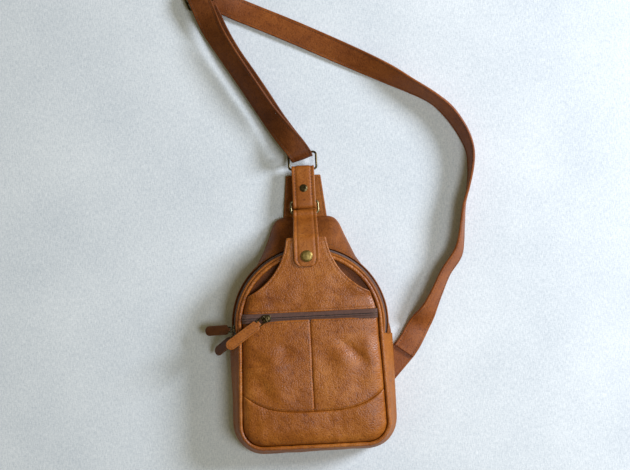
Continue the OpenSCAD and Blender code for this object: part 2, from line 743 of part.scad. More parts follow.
back_panel();
back_tab();
strap_anchor();
gusset();
hood();
main_lining();
front_panel();
front_piping();
main_zip_tape_back();
main_coil_back();
main_zip_tape_ends();
main_coil_ends();
main_zip_stops();
pocket_lining();
pocket_panel_left();
pocket_panel_right();
bottom_panel();
pocket_zip_tape_upper();
pocket_zip_tape_lower();
pocket_coil_upper();
pocket_coil_lower();
pocket_zip_stops();
main_slider_b();
snap_strap_anchor();
shoulder_strap();
adjuster_strap();
flap_panel();
flap_piping();
flap_strip();
flap_lining();
flap_zip_tape();
flap_coil();
yoke_overlay();
snap_stud();
main_slider_a();
main_pull_a_link();
main_pull_a();
main_pull_b_link();
main_pull_b();
pocket_slider();
pocket_pull_link();
pocket_pull();
snap_strap();
snap_cap();
snap_socket();
lower_ring();
upper_loop();
loop_rivet();
upper_ring();
adjuster_frame();
adjuster_bar();
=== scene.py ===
"""Looks for the leather sling bag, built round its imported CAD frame. Metres; the frame's own axes."""

import json
import math

import bmesh
import bpy
import numpy as np
from mathutils import Matrix, Vector
from mathutils.geometry import delaunay_2d_cdt

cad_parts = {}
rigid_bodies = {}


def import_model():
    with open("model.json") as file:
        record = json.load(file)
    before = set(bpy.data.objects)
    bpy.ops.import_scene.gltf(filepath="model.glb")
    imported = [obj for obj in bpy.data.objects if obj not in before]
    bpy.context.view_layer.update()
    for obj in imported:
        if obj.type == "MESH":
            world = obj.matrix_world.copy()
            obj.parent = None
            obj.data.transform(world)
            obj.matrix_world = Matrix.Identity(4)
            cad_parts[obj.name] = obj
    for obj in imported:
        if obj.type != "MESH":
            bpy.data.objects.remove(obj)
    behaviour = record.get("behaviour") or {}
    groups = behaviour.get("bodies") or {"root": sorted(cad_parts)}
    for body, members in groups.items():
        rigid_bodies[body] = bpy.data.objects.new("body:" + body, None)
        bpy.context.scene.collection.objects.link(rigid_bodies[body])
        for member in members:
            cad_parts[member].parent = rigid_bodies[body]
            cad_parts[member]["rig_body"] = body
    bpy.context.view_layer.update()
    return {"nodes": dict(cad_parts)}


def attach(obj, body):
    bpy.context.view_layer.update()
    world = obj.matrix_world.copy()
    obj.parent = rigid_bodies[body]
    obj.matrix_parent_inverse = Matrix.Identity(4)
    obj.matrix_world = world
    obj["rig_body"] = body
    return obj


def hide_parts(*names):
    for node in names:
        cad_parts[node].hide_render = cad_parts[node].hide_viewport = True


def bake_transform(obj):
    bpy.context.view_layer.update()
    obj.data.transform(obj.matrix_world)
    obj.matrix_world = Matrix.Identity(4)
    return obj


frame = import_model()
nodes = frame["nodes"]
MM = 0.001

# ---------------------------------------------------------------- dimensions (mm)

ARCH_R = 75.0
ZIP_R, ZIP_Z = 80.0, 33.0
ZIP_END_Y = 14.0
END_ANGLE = math.asin(ZIP_END_Y / ZIP_R)
FOLD_Y = 13.5
FRONT_BOTTOM, FRONT_FOOT_HALF, CORNER_R = 130.0, 79.0, 24.0
BACK_HALF, BACK_BOTTOM, HOOD_TOP, BACK_CORNER_R = 86.0, 137.0, 114.0, 32.0
PIPING_R, PIPING_Z = 1.9, 39.0
POCKET_Z = 44.0
LEATHER = 2.2
POCKET_TOP = POCKET_Z + LEATHER
ZIP_Y = 9.0
RING_BAR = (119.0, 17.0)
CONNECTOR_FALL = math.radians(7)
COVER_R = ARCH_R - PIPING_R - 0.5


# ---------------------------------------------------------------- camera and light

CAMERA_PLACE = (0.0098, 0.0948, 1.2)
CAMERA_LENS = 62.3
CAMERA_ROLL = math.radians(-2.85)
FILL_COLOUR, FILL_STRENGTH = (1.0, 0.89, 0.50, 1), 0.21


def look_down():
    """Straight down from 1.2 m, rolled a little, as the bag lies on its floor."""
    data = bpy.data.cameras.new("camera")
    data.sensor_width = 36
    data.lens = CAMERA_LENS
    cam = bpy.data.objects.new("camera", data)
    cam.location = CAMERA_PLACE
    cam.rotation_euler = (0, 0, CAMERA_ROLL)
    bpy.context.scene.collection.objects.link(cam)
    bpy.context.scene.camera = cam


def area_light(name, place, target, size, power, colour):
    """A round soft light of that size (m) and power (W), aimed at target."""
    data = bpy.data.lights.new(name, "AREA")
    data.shape = "DISK"
    data.size = size
    data.energy = power
    data.color = colour
    lamp = bpy.data.objects.new(name, data)
    lamp.location = place
    aim = Vector(target) - Vector(place)
    lamp.rotation_euler = aim.to_track_quat("-Z", "Y").to_euler()
    bpy.context.scene.collection.objects.link(lamp)


look_down()
area_light("key", (1.95, 0.80, 1.12), (0, 0.05, 0), size=0.72, power=74, colour=(0.79, 0.87, 1.0))
area_light("sheen", (0.56, -0.12, 1.3), (0.05, 0, 0), size=0.5, power=7.5, colour=(0.86, 0.92, 1.0))

world = bpy.data.worlds.new("studio")
bpy.context.scene.world = world
world.use_nodes = True
world.node_tree.nodes["Background"].inputs["Color"].default_value = FILL_COLOUR
world.node_tree.nodes["Background"].inputs["Strength"].default_value = FILL_STRENGTH
bpy.context.scene.view_settings.view_transform = "Standard"


# ---------------------------------------------------------------- materials

class Graph:
    """A short way to write a material's nodes."""

    def __init__(self, name):
        self.material = bpy.data.materials.new(name)
        self.material.use_nodes = True
        self.tree = self.material.node_tree
        self.shader = self.tree.nodes["Principled BSDF"]

    def add(self, kind, inputs=None, **props):
        n = self.tree.nodes.new(kind)
        for k, v in props.items():
            setattr(n, k, v)
        for k, v in (inputs or {}).items():
            self.feed(n.inputs[k], v)
        return n

    def feed(self, socket, value):
        if isinstance(value, bpy.types.NodeSocket):
            self.tree.links.new(value, socket)
        else:
            socket.default_value = value

    def object_place(self):
        return self.add("ShaderNodeTexCoord").outputs["Object"]

    def noise(self, where, scale, detail=3.0, rough=0.55, distort=0.0):
        return self.add("ShaderNodeTexNoise", {"Vector": where, "Scale": scale, "Detail": detail,
                                               "Roughness": rough, "Distortion": distort}).outputs["Fac"]

    def ramp(self, fac, stops):
        n = self.add("ShaderNodeValToRGB", {"Fac": fac})
        while len(n.color_ramp.elements) < len(stops):
            n.color_ramp.elements.new(0.5)
        for e, (at, c) in zip(n.color_ramp.elements, stops):
            e.position = at
            e.color = c if len(c) == 4 else (*c, 1)
        return n.outputs["Color"]

    def math(self, op, a, b=0.0):
        return self.add("ShaderNodeMath", {0: a, 1: b}, operation=op).outputs[0]

    def mix(self, fac, a, b, blend="MIX"):
        n = self.add("ShaderNodeMix", {0: fac, 6: a, 7: b}, data_type="RGBA", blend_type=blend)
        return n.outputs[2]

    def bump(self, height, strength, distance, normal=None):
        ins = {"Height": height, "Strength": strength, "Distance": distance}
        if normal is not None:
            ins["Normal"] = normal
        return self.add("ShaderNodeBump", ins).outputs["Normal"]


def srgb(r, g, b):
    """Display values from 0 to 255 as linear light."""
    return tuple(((c / 255) / 12.92 if c <= 10 else ((c / 255 + 0.055) / 1.055) ** 2.4) for c in (r, g, b))


def leather(name, dark, mid, light, grain=1.0, rough=0.41, cell=760.0, gloss=0.44):
    """Waxed, pebbled leather: small domed grains over a slightly cloudy tone, with painted shade in the
    hollows between the grains and painted light on their tops.
    """
    g = Graph(name)
    here = g.object_place()
    cloud = g.noise(here, 20, 4, 0.6, 0.6)
    fine = g.noise(here, 150, 4, 0.65)
    tone = g.math("ADD", g.math("MULTIPLY", cloud, 0.65), g.math("MULTIPLY", fine, 0.35))
    colour = g.ramp(tone, [(0.30, dark), (0.50, mid), (0.72, light)])
    stir = g.add("ShaderNodeTexNoise", {"Vector": here, "Scale": 700.0, "Detail": 1.0}).outputs["Color"]
    sway = (0.0006, 0.0006, 0.0006)
    bent = g.add("ShaderNodeVectorMath", {0: stir, 1: sway}, operation="MULTIPLY").outputs[0]
    spot = g.add("ShaderNodeVectorMath", {0: here, 1: bent}, operation="ADD").outputs[0]
    voronoi = g.add("ShaderNodeTexVoronoi", {"Vector": spot, "Scale": cell}, feature="SMOOTH_F1")
    cells = voronoi.outputs["Distance"]
    dome = g.math("SUBTRACT", 1.0, g.math("MULTIPLY", cells, 1.1))
    # Painted shade darkens the hollows between the grains and painted light brightens the grains' tops.
    grain_shade = g.ramp(dome, [(0.05, (0.42, 0.29, 0.17)), (0.40, (0.90, 0.86, 0.80)),
                           (0.75, (1.15, 1.13, 1.07))])
    g.feed(g.shader.inputs["Base Color"], g.mix(0.75, colour, grain_shade, "MULTIPLY"))
    crease = g.noise(here, 60, 4, 0.6, 1.0)
    n1 = g.bump(crease, 0.22 * grain, 0.0014)
    n2 = g.bump(dome, 0.6 * grain, 0.0005, n1)
    g.feed(g.shader.inputs["Normal"], n2)
    g.feed(g.shader.inputs["Roughness"], g.math("ADD", g.math("MULTIPLY", fine, 0.2), rough - 0.1))
    g.feed(g.shader.inputs["Specular IOR Level"], gloss)
    return g.material


def cut_edge(name, colour):
    """The raw, fibrous edge of cut leather."""
    g = Graph(name)
    fibres = g.noise(g.object_place(), 900, 3, 0.7)
    dull = tuple(c * 0.7 for c in colour)
    g.feed(g.shader.inputs["Base Color"], g.ramp(fibres, [(0.3, dull), (0.7, colour)]))
    g.feed(g.shader.inputs["Roughness"], 0.7)
    g.feed(g.shader.inputs["Normal"], g.bump(fibres, 0.4, 0.0003))
    return g.material


def woven(name, dark, light, scale=2400.0):
    """Tape or cloth: a fine and a broader thread noise with a dull sheen."""
    g = Graph(name)
    here = g.object_place()
    weave = g.math("ADD", g.math("MULTIPLY", g.noise(here, scale, 2, 0.6), 0.6),
                   g.math("MULTIPLY", g.noise(here, scale / 9, 3, 0.6), 0.4))
    g.feed(g.shader.inputs["Base Color"], g.ramp(weave, [(0.35, dark), (0.65, light)]))
    g.feed(g.shader.inputs["Roughness"], 0.78)
    g.feed(g.shader.inputs["Sheen Weight"], 0.2)
    g.feed(g.shader.inputs["Normal"], g.bump(weave, 0.4, 0.0002))
    return g.material


def metal(name, dark, light, rough=0.3):
    """Brass with a cloudy patina and a faint hammered grain."""
    g = Graph(name)
    here = g.object_place()
    patina = g.noise(here, 210, 4, 0.62)
    tiny = g.noise(here, 1400, 2, 0.5)
    tone = g.math("ADD", g.math("MULTIPLY", patina, 0.7), g.math("MULTIPLY", tiny, 0.3))
    g.feed(g.shader.inputs["Base Color"], g.ramp(tone, [(0.35, dark), (0.65, light)]))
    g.feed(g.shader.inputs["Metallic"], 1.0)
    g.feed(g.shader.inputs["Roughness"], g.math("ADD", g.math("MULTIPLY", patina, 0.22), rough - 0.08))
    g.feed(g.shader.inputs["Normal"], g.bump(tiny, 0.12, 0.0001))
    return g.material


def plain(name, colour, rough, sheen=0.0):
    """Thread or plastic of one colour, slightly speckled."""
    g = Graph(name)
    speck = g.noise(g.object_place(), 700, 3, 0.6)
    dull = tuple(c * 0.78 for c in colour)
    g.feed(g.shader.inputs["Base Color"], g.ramp(speck, [(0.3, dull), (0.7, colour)]))
    g.feed(g.shader.inputs["Roughness"], rough)
    g.feed(g.shader.inputs["Sheen Weight"], sheen)
    return g.material


TAN = leather("tan_leather", srgb(112, 53, 8), srgb(150, 83, 20), srgb(178, 109, 42))
TAN_SIDE = leather("side_leather", srgb(116, 60, 16), srgb(144, 82, 25), srgb(164, 98, 36),
                   grain=0.6, rough=0.50, gloss=0.22)
TAN_FINE = leather("fine_tan_leather", srgb(122, 62, 14), srgb(150, 84, 26), srgb(172, 104, 42),
                   grain=0.35, rough=0.44, gloss=0.34)
# The hood's leather is a darker copy of the side leather: painted shade.
HOOD_SHADED_TAN = leather("hood_leather", srgb(92, 45, 12), srgb(124, 67, 20), srgb(150, 87, 32),
                   grain=0.6, rough=0.5, gloss=0.2)
STRAP_TAN = leather("strap_leather", srgb(104, 50, 14), srgb(132, 70, 24), srgb(154, 88, 36),
                    grain=0.6, rough=0.48, gloss=0.3)
STRAP_DARK = leather("strap_dark_leather", srgb(76, 35, 9), srgb(102, 52, 15), srgb(124, 69, 24),
                     grain=0.5, rough=0.52, gloss=0.25)
# A darker copy of the tan leather, for the two main pulls: painted shade.
DARK = leather("dark_leather", srgb(64, 31, 11), srgb(88, 46, 17), srgb(112, 63, 28),
               grain=0.6, rough=0.45, gloss=0.35)
EDGE = cut_edge("cut_edge", srgb(192, 140, 92))
# A darker copy of the cut edge; on the main pulls it stands in for their shade: painted shade.
EDGE_DARK = cut_edge("dark_cut_edge", srgb(132, 84, 48))
THREAD = plain("thread", srgb(88, 48, 20), 0.7, 0.1)
THREAD_DARK = plain("dark_thread", srgb(86, 48, 20), 0.75, 0.1)
TAPE = woven("zip_tape", srgb(68, 41, 31), srgb(98, 63, 48))
COIL = plain("zip_coil", srgb(74, 50, 40), 0.5)
LINING = woven("lining", srgb(62, 50, 40), srgb(84, 70, 58), 1400)
ANTIQUE = metal("antique_brass", srgb(44, 38, 25), srgb(104, 90, 60), 0.32)
PALE_BRASS = metal("pale_brass", srgb(86, 76, 50), srgb(156, 142, 104), 0.3)
BRIGHT = metal("bright_brass", srgb(128, 104, 52), srgb(186, 160, 98), 0.34)


# ---------------------------------------------------------------- outlines and helpers

def arc(cx, cy, r, a0, a1, n):
    """n steps round a circle, from a0 to a1 degrees."""
    return [(cx + r * math.cos(math.radians(a0 + (a1 - a0) * i / n)),
             cy + r * math.sin(math.radians(a0 + (a1 - a0) * i / n))) for i in range(n + 1)]


CORNER_Y = -(FRONT_BOTTOM - CORNER_R)
FOOT_X = FRONT_FOOT_HALF - CORNER_R
FOOT_STEPS = 15


def front_side_x(y, d=0.0):
    """Half the front's width at height y, d outside its edge."""
    if y > 0:
        return math.sqrt(max((ARCH_R + d) ** 2 - y * y, 0))
    return ARCH_R + d + (FRONT_FOOT_HALF - ARCH_R) * y / CORNER_Y


def front_lower(d, top_y, n=40):
    """The front's edge from top_y at the right, round the foot, to top_y at the left."""
    right = [(front_side_x(top_y + (CORNER_Y - top_y) * i / n, d), top_y + (CORNER_Y - top_y) * i / n)
             for i in range(n)]
    right += arc(FOOT_X, CORNER_Y, CORNER_R + d, 0, -90, 24)
    foot = [(FOOT_X * (1 - i / FOOT_STEPS), -FRONT_BOTTOM - d) for i in range(1, 2 * FOOT_STEPS)]
    left = [(-x, y) for x, y in reversed(right)]
    return right + foot + left


def front_closed(d):
    """The whole edge of the front, with its arch, d outside it."""
    return front_lower(d, 0.0) + arc(0, 0, ARCH_R + d, 180, 0, 120)[1:-1]


def back_r(a):
    """The back's radius at an angle: a sloping flank, a flat top and a straight side, softly joined."""
    flank = 80 / (0.905 * abs(math.cos(a)) + 0.425 * math.sin(a))
    if flank <= 0:
        flank = 1e6
    top = HOOD_TOP / max(math.sin(a), 0.01)
    side = BACK_HALF / max(abs(math.cos(a)), 0.01)
    return (flank ** -24 + top ** -24 + side ** -24) ** (-1 / 24)


def back_lower(n=40):
    """The back's edge below the zip, from the right round the foot to the left."""
    start_x = back_r(-END_ANGLE) * math.cos(END_ANGLE)
    y0 = back_r(-END_ANGLE) * math.sin(-END_ANGLE)
    y1 = -(BACK_BOTTOM - BACK_CORNER_R)
    right = [(start_x + (BACK_HALF - start_x) * min(1, 3 * i / n), y0 + (y1 - y0) * i / n)
             for i in range(n)]
    right += arc(BACK_HALF - BACK_CORNER_R, y1, BACK_CORNER_R, 0, -90, 24)
    foot = [((BACK_HALF - BACK_CORNER_R) * (1 - i / FOOT_STEPS), -BACK_BOTTOM)
            for i in range(1, 2 * FOOT_STEPS)]
    left = [(-x, y) for x, y in reversed(right)]
    return right + foot + left


def wave(p, seed, scale):
    """Smooth, repeatable lumps: a sum of a few sines, from -1 to 1."""
    rng = np.random.default_rng(seed)
    out = np.zeros(len(p))
    for _ in range(6):
        k = rng.normal(0, 1, p.shape[1]) / scale
        out += np.sin(p @ k * 2 * math.pi + rng.uniform(0, 6.28))
    return out / 3.2


def add_mesh(name, verts, faces, materials, body=None, face_slots=None):
    """A smooth-shaded object from points in mm, riding on body if one is named."""
    mesh = bpy.data.meshes.new(name)
    mesh.from_pydata([tuple(v) for v in np.asarray(verts) * MM], [], faces)
    for m in materials:
        mesh.materials.append(m)
    if face_slots is not None:
        mesh.polygons.foreach_set("material_index", face_slots)
    mesh.polygons.foreach_set("use_smooth", [True] * len(mesh.polygons))
    mesh.update()
    ob = bpy.data.objects.new(name, mesh)
    bpy.context.scene.collection.objects.link(ob)
    if body:
        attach(ob, body)
    return ob


def recalc(ob):
    """Welds doubled points and turns every face outwards."""
    bm = bmesh.new()
    bm.from_mesh(ob.data)
    bmesh.ops.remove_doubles(bm, verts=bm.verts, dist=1e-6)
    bmesh.ops.recalc_face_normals(bm, faces=bm.faces)
    bm.to_mesh(ob.data)
    bm.free()
    ob.data.update()
    return ob


def seg_distance(pts, outline, closed=True):
    """Distance of each point from a polyline."""
    a = np.array(outline, float)
    b = np.roll(a, -1, axis=0)
    if not closed:
        a, b = a[:-1], b[:-1]
    best = np.full(len(pts), 1e9)
    for s, e in zip(a, b):
        d = e - s
        l2 = max(d @ d, 1e-12)
        t = np.clip(((pts - s) @ d) / l2, 0, 1)
        best = np.minimum(best, np.hypot(*(pts - s - t[:, None] * d).T))
    return best


def resample(points, step, closed=True):
    """The same line with evenly spaced points, about a step apart."""
    p = np.array(points, float)
    if closed:
        p = np.vstack([p, p[:1]])
    seg = np.linalg.norm(np.diff(p, axis=0), axis=1)
    at = np.concatenate([[0], np.cumsum(seg)])
    n = max(2, int(round(at[-1] / step)))
    want = np.linspace(0, at[-1], n + 1)
    out = np.column_stack([np.interp(want, at, p[:, k]) for k in range(p.shape[1])])
    return out[:-1] if closed else out


def inside(pts, outline):
    """Which points lie inside a closed outline."""
    x, y = pts[:, 0], pts[:, 1]
    a = np.array(outline, float)
    b = np.roll(a, -1, axis=0)
    hit = np.zeros(len(pts), bool)
    for (x0, y0), (x1, y1) in zip(a, b):
        cross = (y0 > y) != (y1 > y)
        with np.errstate(divide="ignore", invalid="ignore"):
            hit ^= cross & (x < (x1 - x0) * (y - y0) / (y1 - y0 + 1e-12) + x0)
    return hit


def inset_rings(outline, depths):
    """Copies of a closed outline moved inwards, thinned where they would cross."""
    p = np.array(outline)
    t = np.roll(p, -1, 0) - np.roll(p, 1, 0)
    t /= np.linalg.norm(t, axis=1)[:, None] + 1e-9
    area = 0.5 * np.sum(p[:, 0] * np.roll(p[:, 1], -1) - np.roll(p[:, 0], -1) * p[:, 1])
    n = np.column_stack([-t[:, 1], t[:, 0]]) * (1 if area > 0 else -1)
    rings = []
    for d in depths:
        q = p + n * d
        keep = inside(q, outline) & (seg_distance(q, outline) > d * 0.93)
        rings.append(q[keep])
    return rings


def panel_data(outline, height, thick=2.0, step=1.6, edge_slot=0, rings=(0.35, 0.8, 1.4, 2.2, 3.2),
               underside=False):
    """A leather panel: its plan filled with points, each at height(points, distance from the edge),
    and a turned-down edge."""
    edge = resample(outline, 1.5)
    extra = inset_rings(edge, rings)
    lo, hi = edge.min(0), edge.max(0)
    gx, gy = np.meshgrid(np.arange(lo[0], hi[0], step), np.arange(lo[1], hi[1], step * 0.87))
    gx[1::2] += step / 2
    grid = np.column_stack([gx.ravel(), gy.ravel()])
    grid = grid[inside(grid, edge)]
    grid = grid[seg_distance(grid, edge) > rings[-1] + 0.7]
    pts = np.vstack([edge] + extra + [grid])
    n = len(edge)
    loop = [(i, (i + 1) % n) for i in range(n)]
    out = delaunay_2d_cdt([Vector(q) for q in pts], loop, [], 1, 1e-5)
    v2 = np.array([tuple(v) for v in out[0]])
    faces = [tuple(f) for f in out[2]]
    dist = seg_distance(v2, edge)
    z = height(v2, dist)
    verts = [(*q, h) for q, h in zip(v2, z)]
    used = {(f[i], f[(i + 1) % len(f)]) for f in faces for i in range(len(f))}
    rim = [(i, j) for i, j in used if (j, i) not in used]
    slots = [0] * len(faces)
    low = {}
    if underside:
        base = len(verts)
        verts += [(*q, h - thick * (1 if d > 0.3 else 0.85)) for q, h, d in zip(v2, z, dist)]
        faces += [tuple(base + i for i in reversed(f)) for f in faces]
        slots += [0] * (len(faces) - len(slots))
        low = {i: base + i for pair in rim for i in pair}
    else:
        for i in sorted({k for pair in rim for k in pair}):
            low[i] = len(verts)
            verts.append((v2[i][0], v2[i][1], z[i] - thick))
    for i, j in sorted(rim):
        faces.append((j, i, low[i], low[j]))
        slots.append(edge_slot)
    return np.array(verts), faces, slots


def panel(name, outline, height, body, materials, **options):
    verts, faces, slots = panel_data(outline, height, **options)
    return add_mesh(name, verts, faces, materials, body, slots)


def loft_faces(n, m, closed=False, base=0, capped=True):
    """Quads round n sections of m points each, numbered from base; an open loft gets its ends capped."""
    faces = []
    for i in range(n if closed else n - 1):
        low, high = base + i * m, base + (i + 1) % n * m
        faces += [(low + k, low + (k + 1) % m, high + (k + 1) % m, high + k) for k in range(m)]
    if capped and not closed:
        faces.append(tuple(base + k for k in range(m - 1, -1, -1)))
        faces.append(tuple(base + (n - 1) * m + k for k in range(m)))
    return faces


def tube(name, path, radius, body, material, sides=12, closed=False):
    """A round bead along 3-D points (mm)."""
    p = np.array(path, float)
    n = len(p)
    t = (np.roll(p, -1, 0) - np.roll(p, 1, 0)) if closed else np.gradient(p, axis=0)
    t /= np.linalg.norm(t, axis=1)[:, None]
    up = np.array([0, 0, 1.0])
    verts = []
    r = np.broadcast_to(radius, (n,))
    for i in range(n):
        ref = up if abs(t[i] @ up) < 0.95 else np.array([1.0, 0, 0])
        side = np.cross(t[i], ref)
        side /= np.linalg.norm(side)
        top = np.cross(side, t[i])
        for k in range(sides):
            a = 2 * math.pi * k / sides
            verts.append(p[i] + r[i] * (math.cos(a) * side + math.sin(a) * top))
    return add_mesh(name, verts, loft_faces(n, sides, closed), [material], body)


def stitches(name, path, body, length=1.9, pitch=2.9, width=0.3, sink=0.12):
    """A row of thread stitches along 3-D points (mm), standing up from a surface that faces +Z."""
    p = np.array(path, float)
    seg = np.linalg.norm(np.diff(p, axis=0), axis=1)
    at = np.concatenate([[0], np.cumsum(seg)])
    count = max(1, int(at[-1] // pitch))
    verts, faces = [], []
    ring = 6
    for i in range(count):
        mid = (i + 0.5) * at[-1] / count
        stations = [(-0.5, 0.35), (-0.38, 0.85), (0.0, 1.0), (0.38, 0.85), (0.5, 0.35)]
        base = len(verts)
        pts = [np.array([np.interp(mid + s * length, at, p[:, k]) for k in range(3)]) for s, _ in stations]
        d = pts[-1] - pts[0]
        d /= np.linalg.norm(d) + 1e-9
        side = np.cross(d, (0, 0, 1.0))
        if np.linalg.norm(side) < 0.05:
            side = np.array([1.0, 0, 0])
        side /= np.linalg.norm(side)
        top = np.cross(side, d)
        for (s, f), c in zip(stations, pts):
            c = c + top * (width * (f - 0.75) - sink)
            for k in range(ring):
                a = 2 * math.pi * k / ring
                verts.append(c + width * f * (math.cos(a) * side + math.sin(a) * top))
        faces += loft_faces(len(stations), ring, base=base)
    return add_mesh(name, verts, faces, [THREAD], body)


def spline(rows, per):
    """A smooth curve through rows of numbers, with per steps between two rows."""
    r = np.array(rows, float)
    out = []
    for i in range(len(r) - 1):
        p0, p1, p2, p3 = r[max(i - 1, 0)], r[i], r[i + 1], r[min(i + 2, len(r) - 1)]
        for k in range(per):
            t = k / per
            out.append(0.5 * (2 * p1 + (p2 - p0) * t + (2 * p0 - 5 * p1 + 4 * p2 - p3) * t * t
                              + (3 * p1 - p0 - 3 * p2 + p3) * t ** 3))
    out.append(r[-1])
    return np.array(out)


def set_material(ob, material):
    ob.data.materials.clear()
    ob.data.materials.append(material)


def finish_piece(ob, slot, *replaced):
    """Hides the CAD nodes that the piece stands for; slot, the piece's material slot, is not used."""
    if replaced:
        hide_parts(*replaced)


# ---------------------------------------------------------------- straps (cords)

# Rows: x, y, z (mm), then the plan heading and the lift of the strap's width (degrees). They are not
# part.scad's rows: here the strap rests on the floor, its ends go round the adjuster's bar, and the fold
# round the upper ring is open, so the ring can swing. The two lines lie up to 19 mm apart, at the adjuster.
STRAP_W, STRAP_T = 24.6, 2.8
LOOP_W, LOOP_T = 24.0, 2.6
STRAP_STEPS = 10
LOOP_FOLLOWS = ("ring_low", (0, 0.290, 0), (0, 0.190, 0))   # the lower ring, and the start and end of a stretch; the code reads only that it is given
STRAP_ROUTE = [
    (101, -37, 3.9, -43, 0), (109, -26, 3.2, -38, 0), (119, -9, 3.0, -33, -14),
    (130, 8, 9.2, -29, -44), (139, 25, 10.4, -27, -55), (150, 47, 10.8, -28, -59),
    (163, 65, 11.0, -34, -60), (168, 80, 11.6, -15, -69), (171, 100, 11.8, -8, -75),
    (174, 120, 11.8, -10, -80), (179, 138, 11.8, -12, -86), (183, 160, 11.8, -2, -94),
    (183, 180, 11.8, 9, -102), (176, 200, 11.6, 26, -110), (162, 222, 11.4, 40, -112),
    (145, 238, 11.6, 48, -110), (121, 253, 10.6, 58, -120), (90, 271, 8.2, 62, -142),
    (42, 296, 4.6, 63, -163), (-2, 318, 3, 63, -174), (-38, 335, 1.9, 63, -180),
    (-60, 345, 2.6, 60, -176), (-78, 354, 5.4, 50, -168), (-92, 363, 9.6, 38, -172),
    (-101, 371, 12.2, 26, -176), (-106, 376, 9.8, 22, -180),
]
LOOP_ROUTE = [
    (-106, 366.5, 8.4, 22, 0), (-103.5, 362, 5.2, 22, 2), (-97, 348.6, 4.6, 22, 6), (-92, 337, 3.8, 24, 8),
    (-84, 318, 4, 27, 10), (-72, 295, 4.6, 29, 12),
    (-57, 271, 5, 31, 12), (-43, 248, 5, 31, 12), (-29, 224, 4.6, 30, 8), (-15, 203, 4.2, 26, 0),
    (-7, 192, 4, 20, 0), (-2, 183, 4.6, 17, 0), (0, 178.8, 11.4, 17, 0), (-2, 183, 18.6, 17, 2),
    (-8, 192, 19.2, 20, 6), (-18, 205, 17.6, 26, 20), (-34, 228, 15.4, 30, 36), (-50, 254, 16.4, 31, 40),
    (-64, 277, 16.4, 30, 40), (-79, 302, 16, 28, 36), (-90, 322, 14.4, 25, 26), (-97, 339, 12.6, 23, 10),
    (-100.5, 349, 12.4, 22, 4), (-104, 358, 12.2, 22, 2), (-107, 366.5, 10.6, 22, 0),
]


def strap_frames(rows, per):
    """The strap's line, and unit vectors along its width and out of its face."""
    fine = spline(rows, per)
    spots = fine[:, :3]
    t = np.gradient(spots, axis=0)
    t /= np.linalg.norm(t, axis=1)[:, None]
    h, l = np.radians(fine[:, 3]), np.radians(fine[:, 4])
    raw = np.column_stack([np.cos(h) * np.cos(l), np.sin(h) * np.cos(l), np.sin(l)])
    side = raw - t * np.sum(raw * t, axis=1)[:, None]
    side /= np.linalg.norm(side, axis=1)[:, None]
    up = np.cross(side, t)
    return spots, side, up


def strap_profile(w, t):
    """The section's outline: a folded strap with a soft crown and stitch grooves, both faces alike."""
    h, u = w / 2, t / 2
    xs = [1.0, 0.985, 0.93, 0.84, 0.76, 0.66, 0.4, 0.0]
    zs = [0.45, 0.78, 0.96, 0.9, 0.74, 0.93, 1.05, 1.1]
    top = [(h * x, u * z) for x, z in zip(xs, zs)]
    face = top + [(-x, z) for x, z in reversed(top[:-1])]
    return face + [(-x, -z) for x, z in face]


def strap(name, rows, w, t, material, slot, node, follow=None):
    """A free strap with four rows of stitches; follow names a body and the start and end of a stretch, but
    only whether it is given is read: then the strap and its stitches ride on no body.
    """
    body = None if follow else "bag"
    spots, side, up = strap_frames(rows, STRAP_STEPS)
    prof = strap_profile(w, t)
    lump = wave(spots, 5, 60)
    verts = [s + sd * x + u * z * (1 + 0.08 * k) for s, sd, u, k in zip(spots, side, up, lump)
             for x, z in prof]
    ob = recalc(add_mesh(name, verts, loft_faces(len(spots), len(prof)), [material], body))
    finish_piece(ob, slot, node)
    rowsets = []
    for face in (1, -1):
        for edge in (1, -1):
            rowsets.append(spots + side * (edge * w / 2 * 0.76) + up * (face * t / 2 * 0.78))
    threads = []
    for i, r in enumerate(rowsets):
        threads.append(strap_stitches(f"{name}_stitches_{i}", r, up * (1 if i < 2 else -1), body))
    for piece in [ob, *threads] if follow else []:
        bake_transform(piece)
    return ob


def strap_stitches(name, path, ups, body, length=2.0, pitch=3.1, width=0.28):
    """Stitches along a twisting strap; ups are its normals."""
    seg = np.linalg.norm(np.diff(path, axis=0), axis=1)
    at = np.concatenate([[0], np.cumsum(seg)])
    count = int(at[-1] // pitch)
    verts, faces = [], []
    for i in range(count):
        mid = (i + 0.5) * at[-1] / count
        base = len(verts)
        stations = [(-0.5, 0.3), (-0.3, 0.9), (0.3, 0.9), (0.5, 0.3)]
        pts = [np.array([np.interp(mid + s * length, at, path[:, k]) for k in range(3)])
               for s, _ in stations]
        n = np.array([np.interp(mid, at, ups[:, k]) for k in range(3)])
        n /= np.linalg.norm(n)
        d = pts[-1] - pts[0]
        d /= np.linalg.norm(d)
        side = np.cross(d, n)
        for (s, f), c in zip(stations, pts):
            for k in range(6):
                a = 2 * math.pi * k / 6
                verts.append(c + n * (width * (f - 0.6)) + width * f * (math.cos(a) * side + math.sin(a) * n))
        faces += loft_faces(len(stations), 6, base=base)
    return add_mesh(name, verts, faces, [THREAD_DARK], body)


strap("shoulder_strap_leather", STRAP_ROUTE, STRAP_W, STRAP_T, STRAP_TAN, "leather_tan", "shoulder_strap")
strap("adjuster_strap_leather", LOOP_ROUTE, LOOP_W, LOOP_T, STRAP_DARK, "leather_dark", "adjuster_strap",
      LOOP_FOLLOWS)


# ---------------------------------------------------------------- front pocket and overlay

COVER_LINE = front_closed(-PIPING_R - 0.5)
LIP_Y = ZIP_Y - 3.1
COVER_CROWN = 1.3
COVER_T = 3.2
SEAM_GAP = 0.03
SEAM_LOW, SEAM_RISE = -92, 25


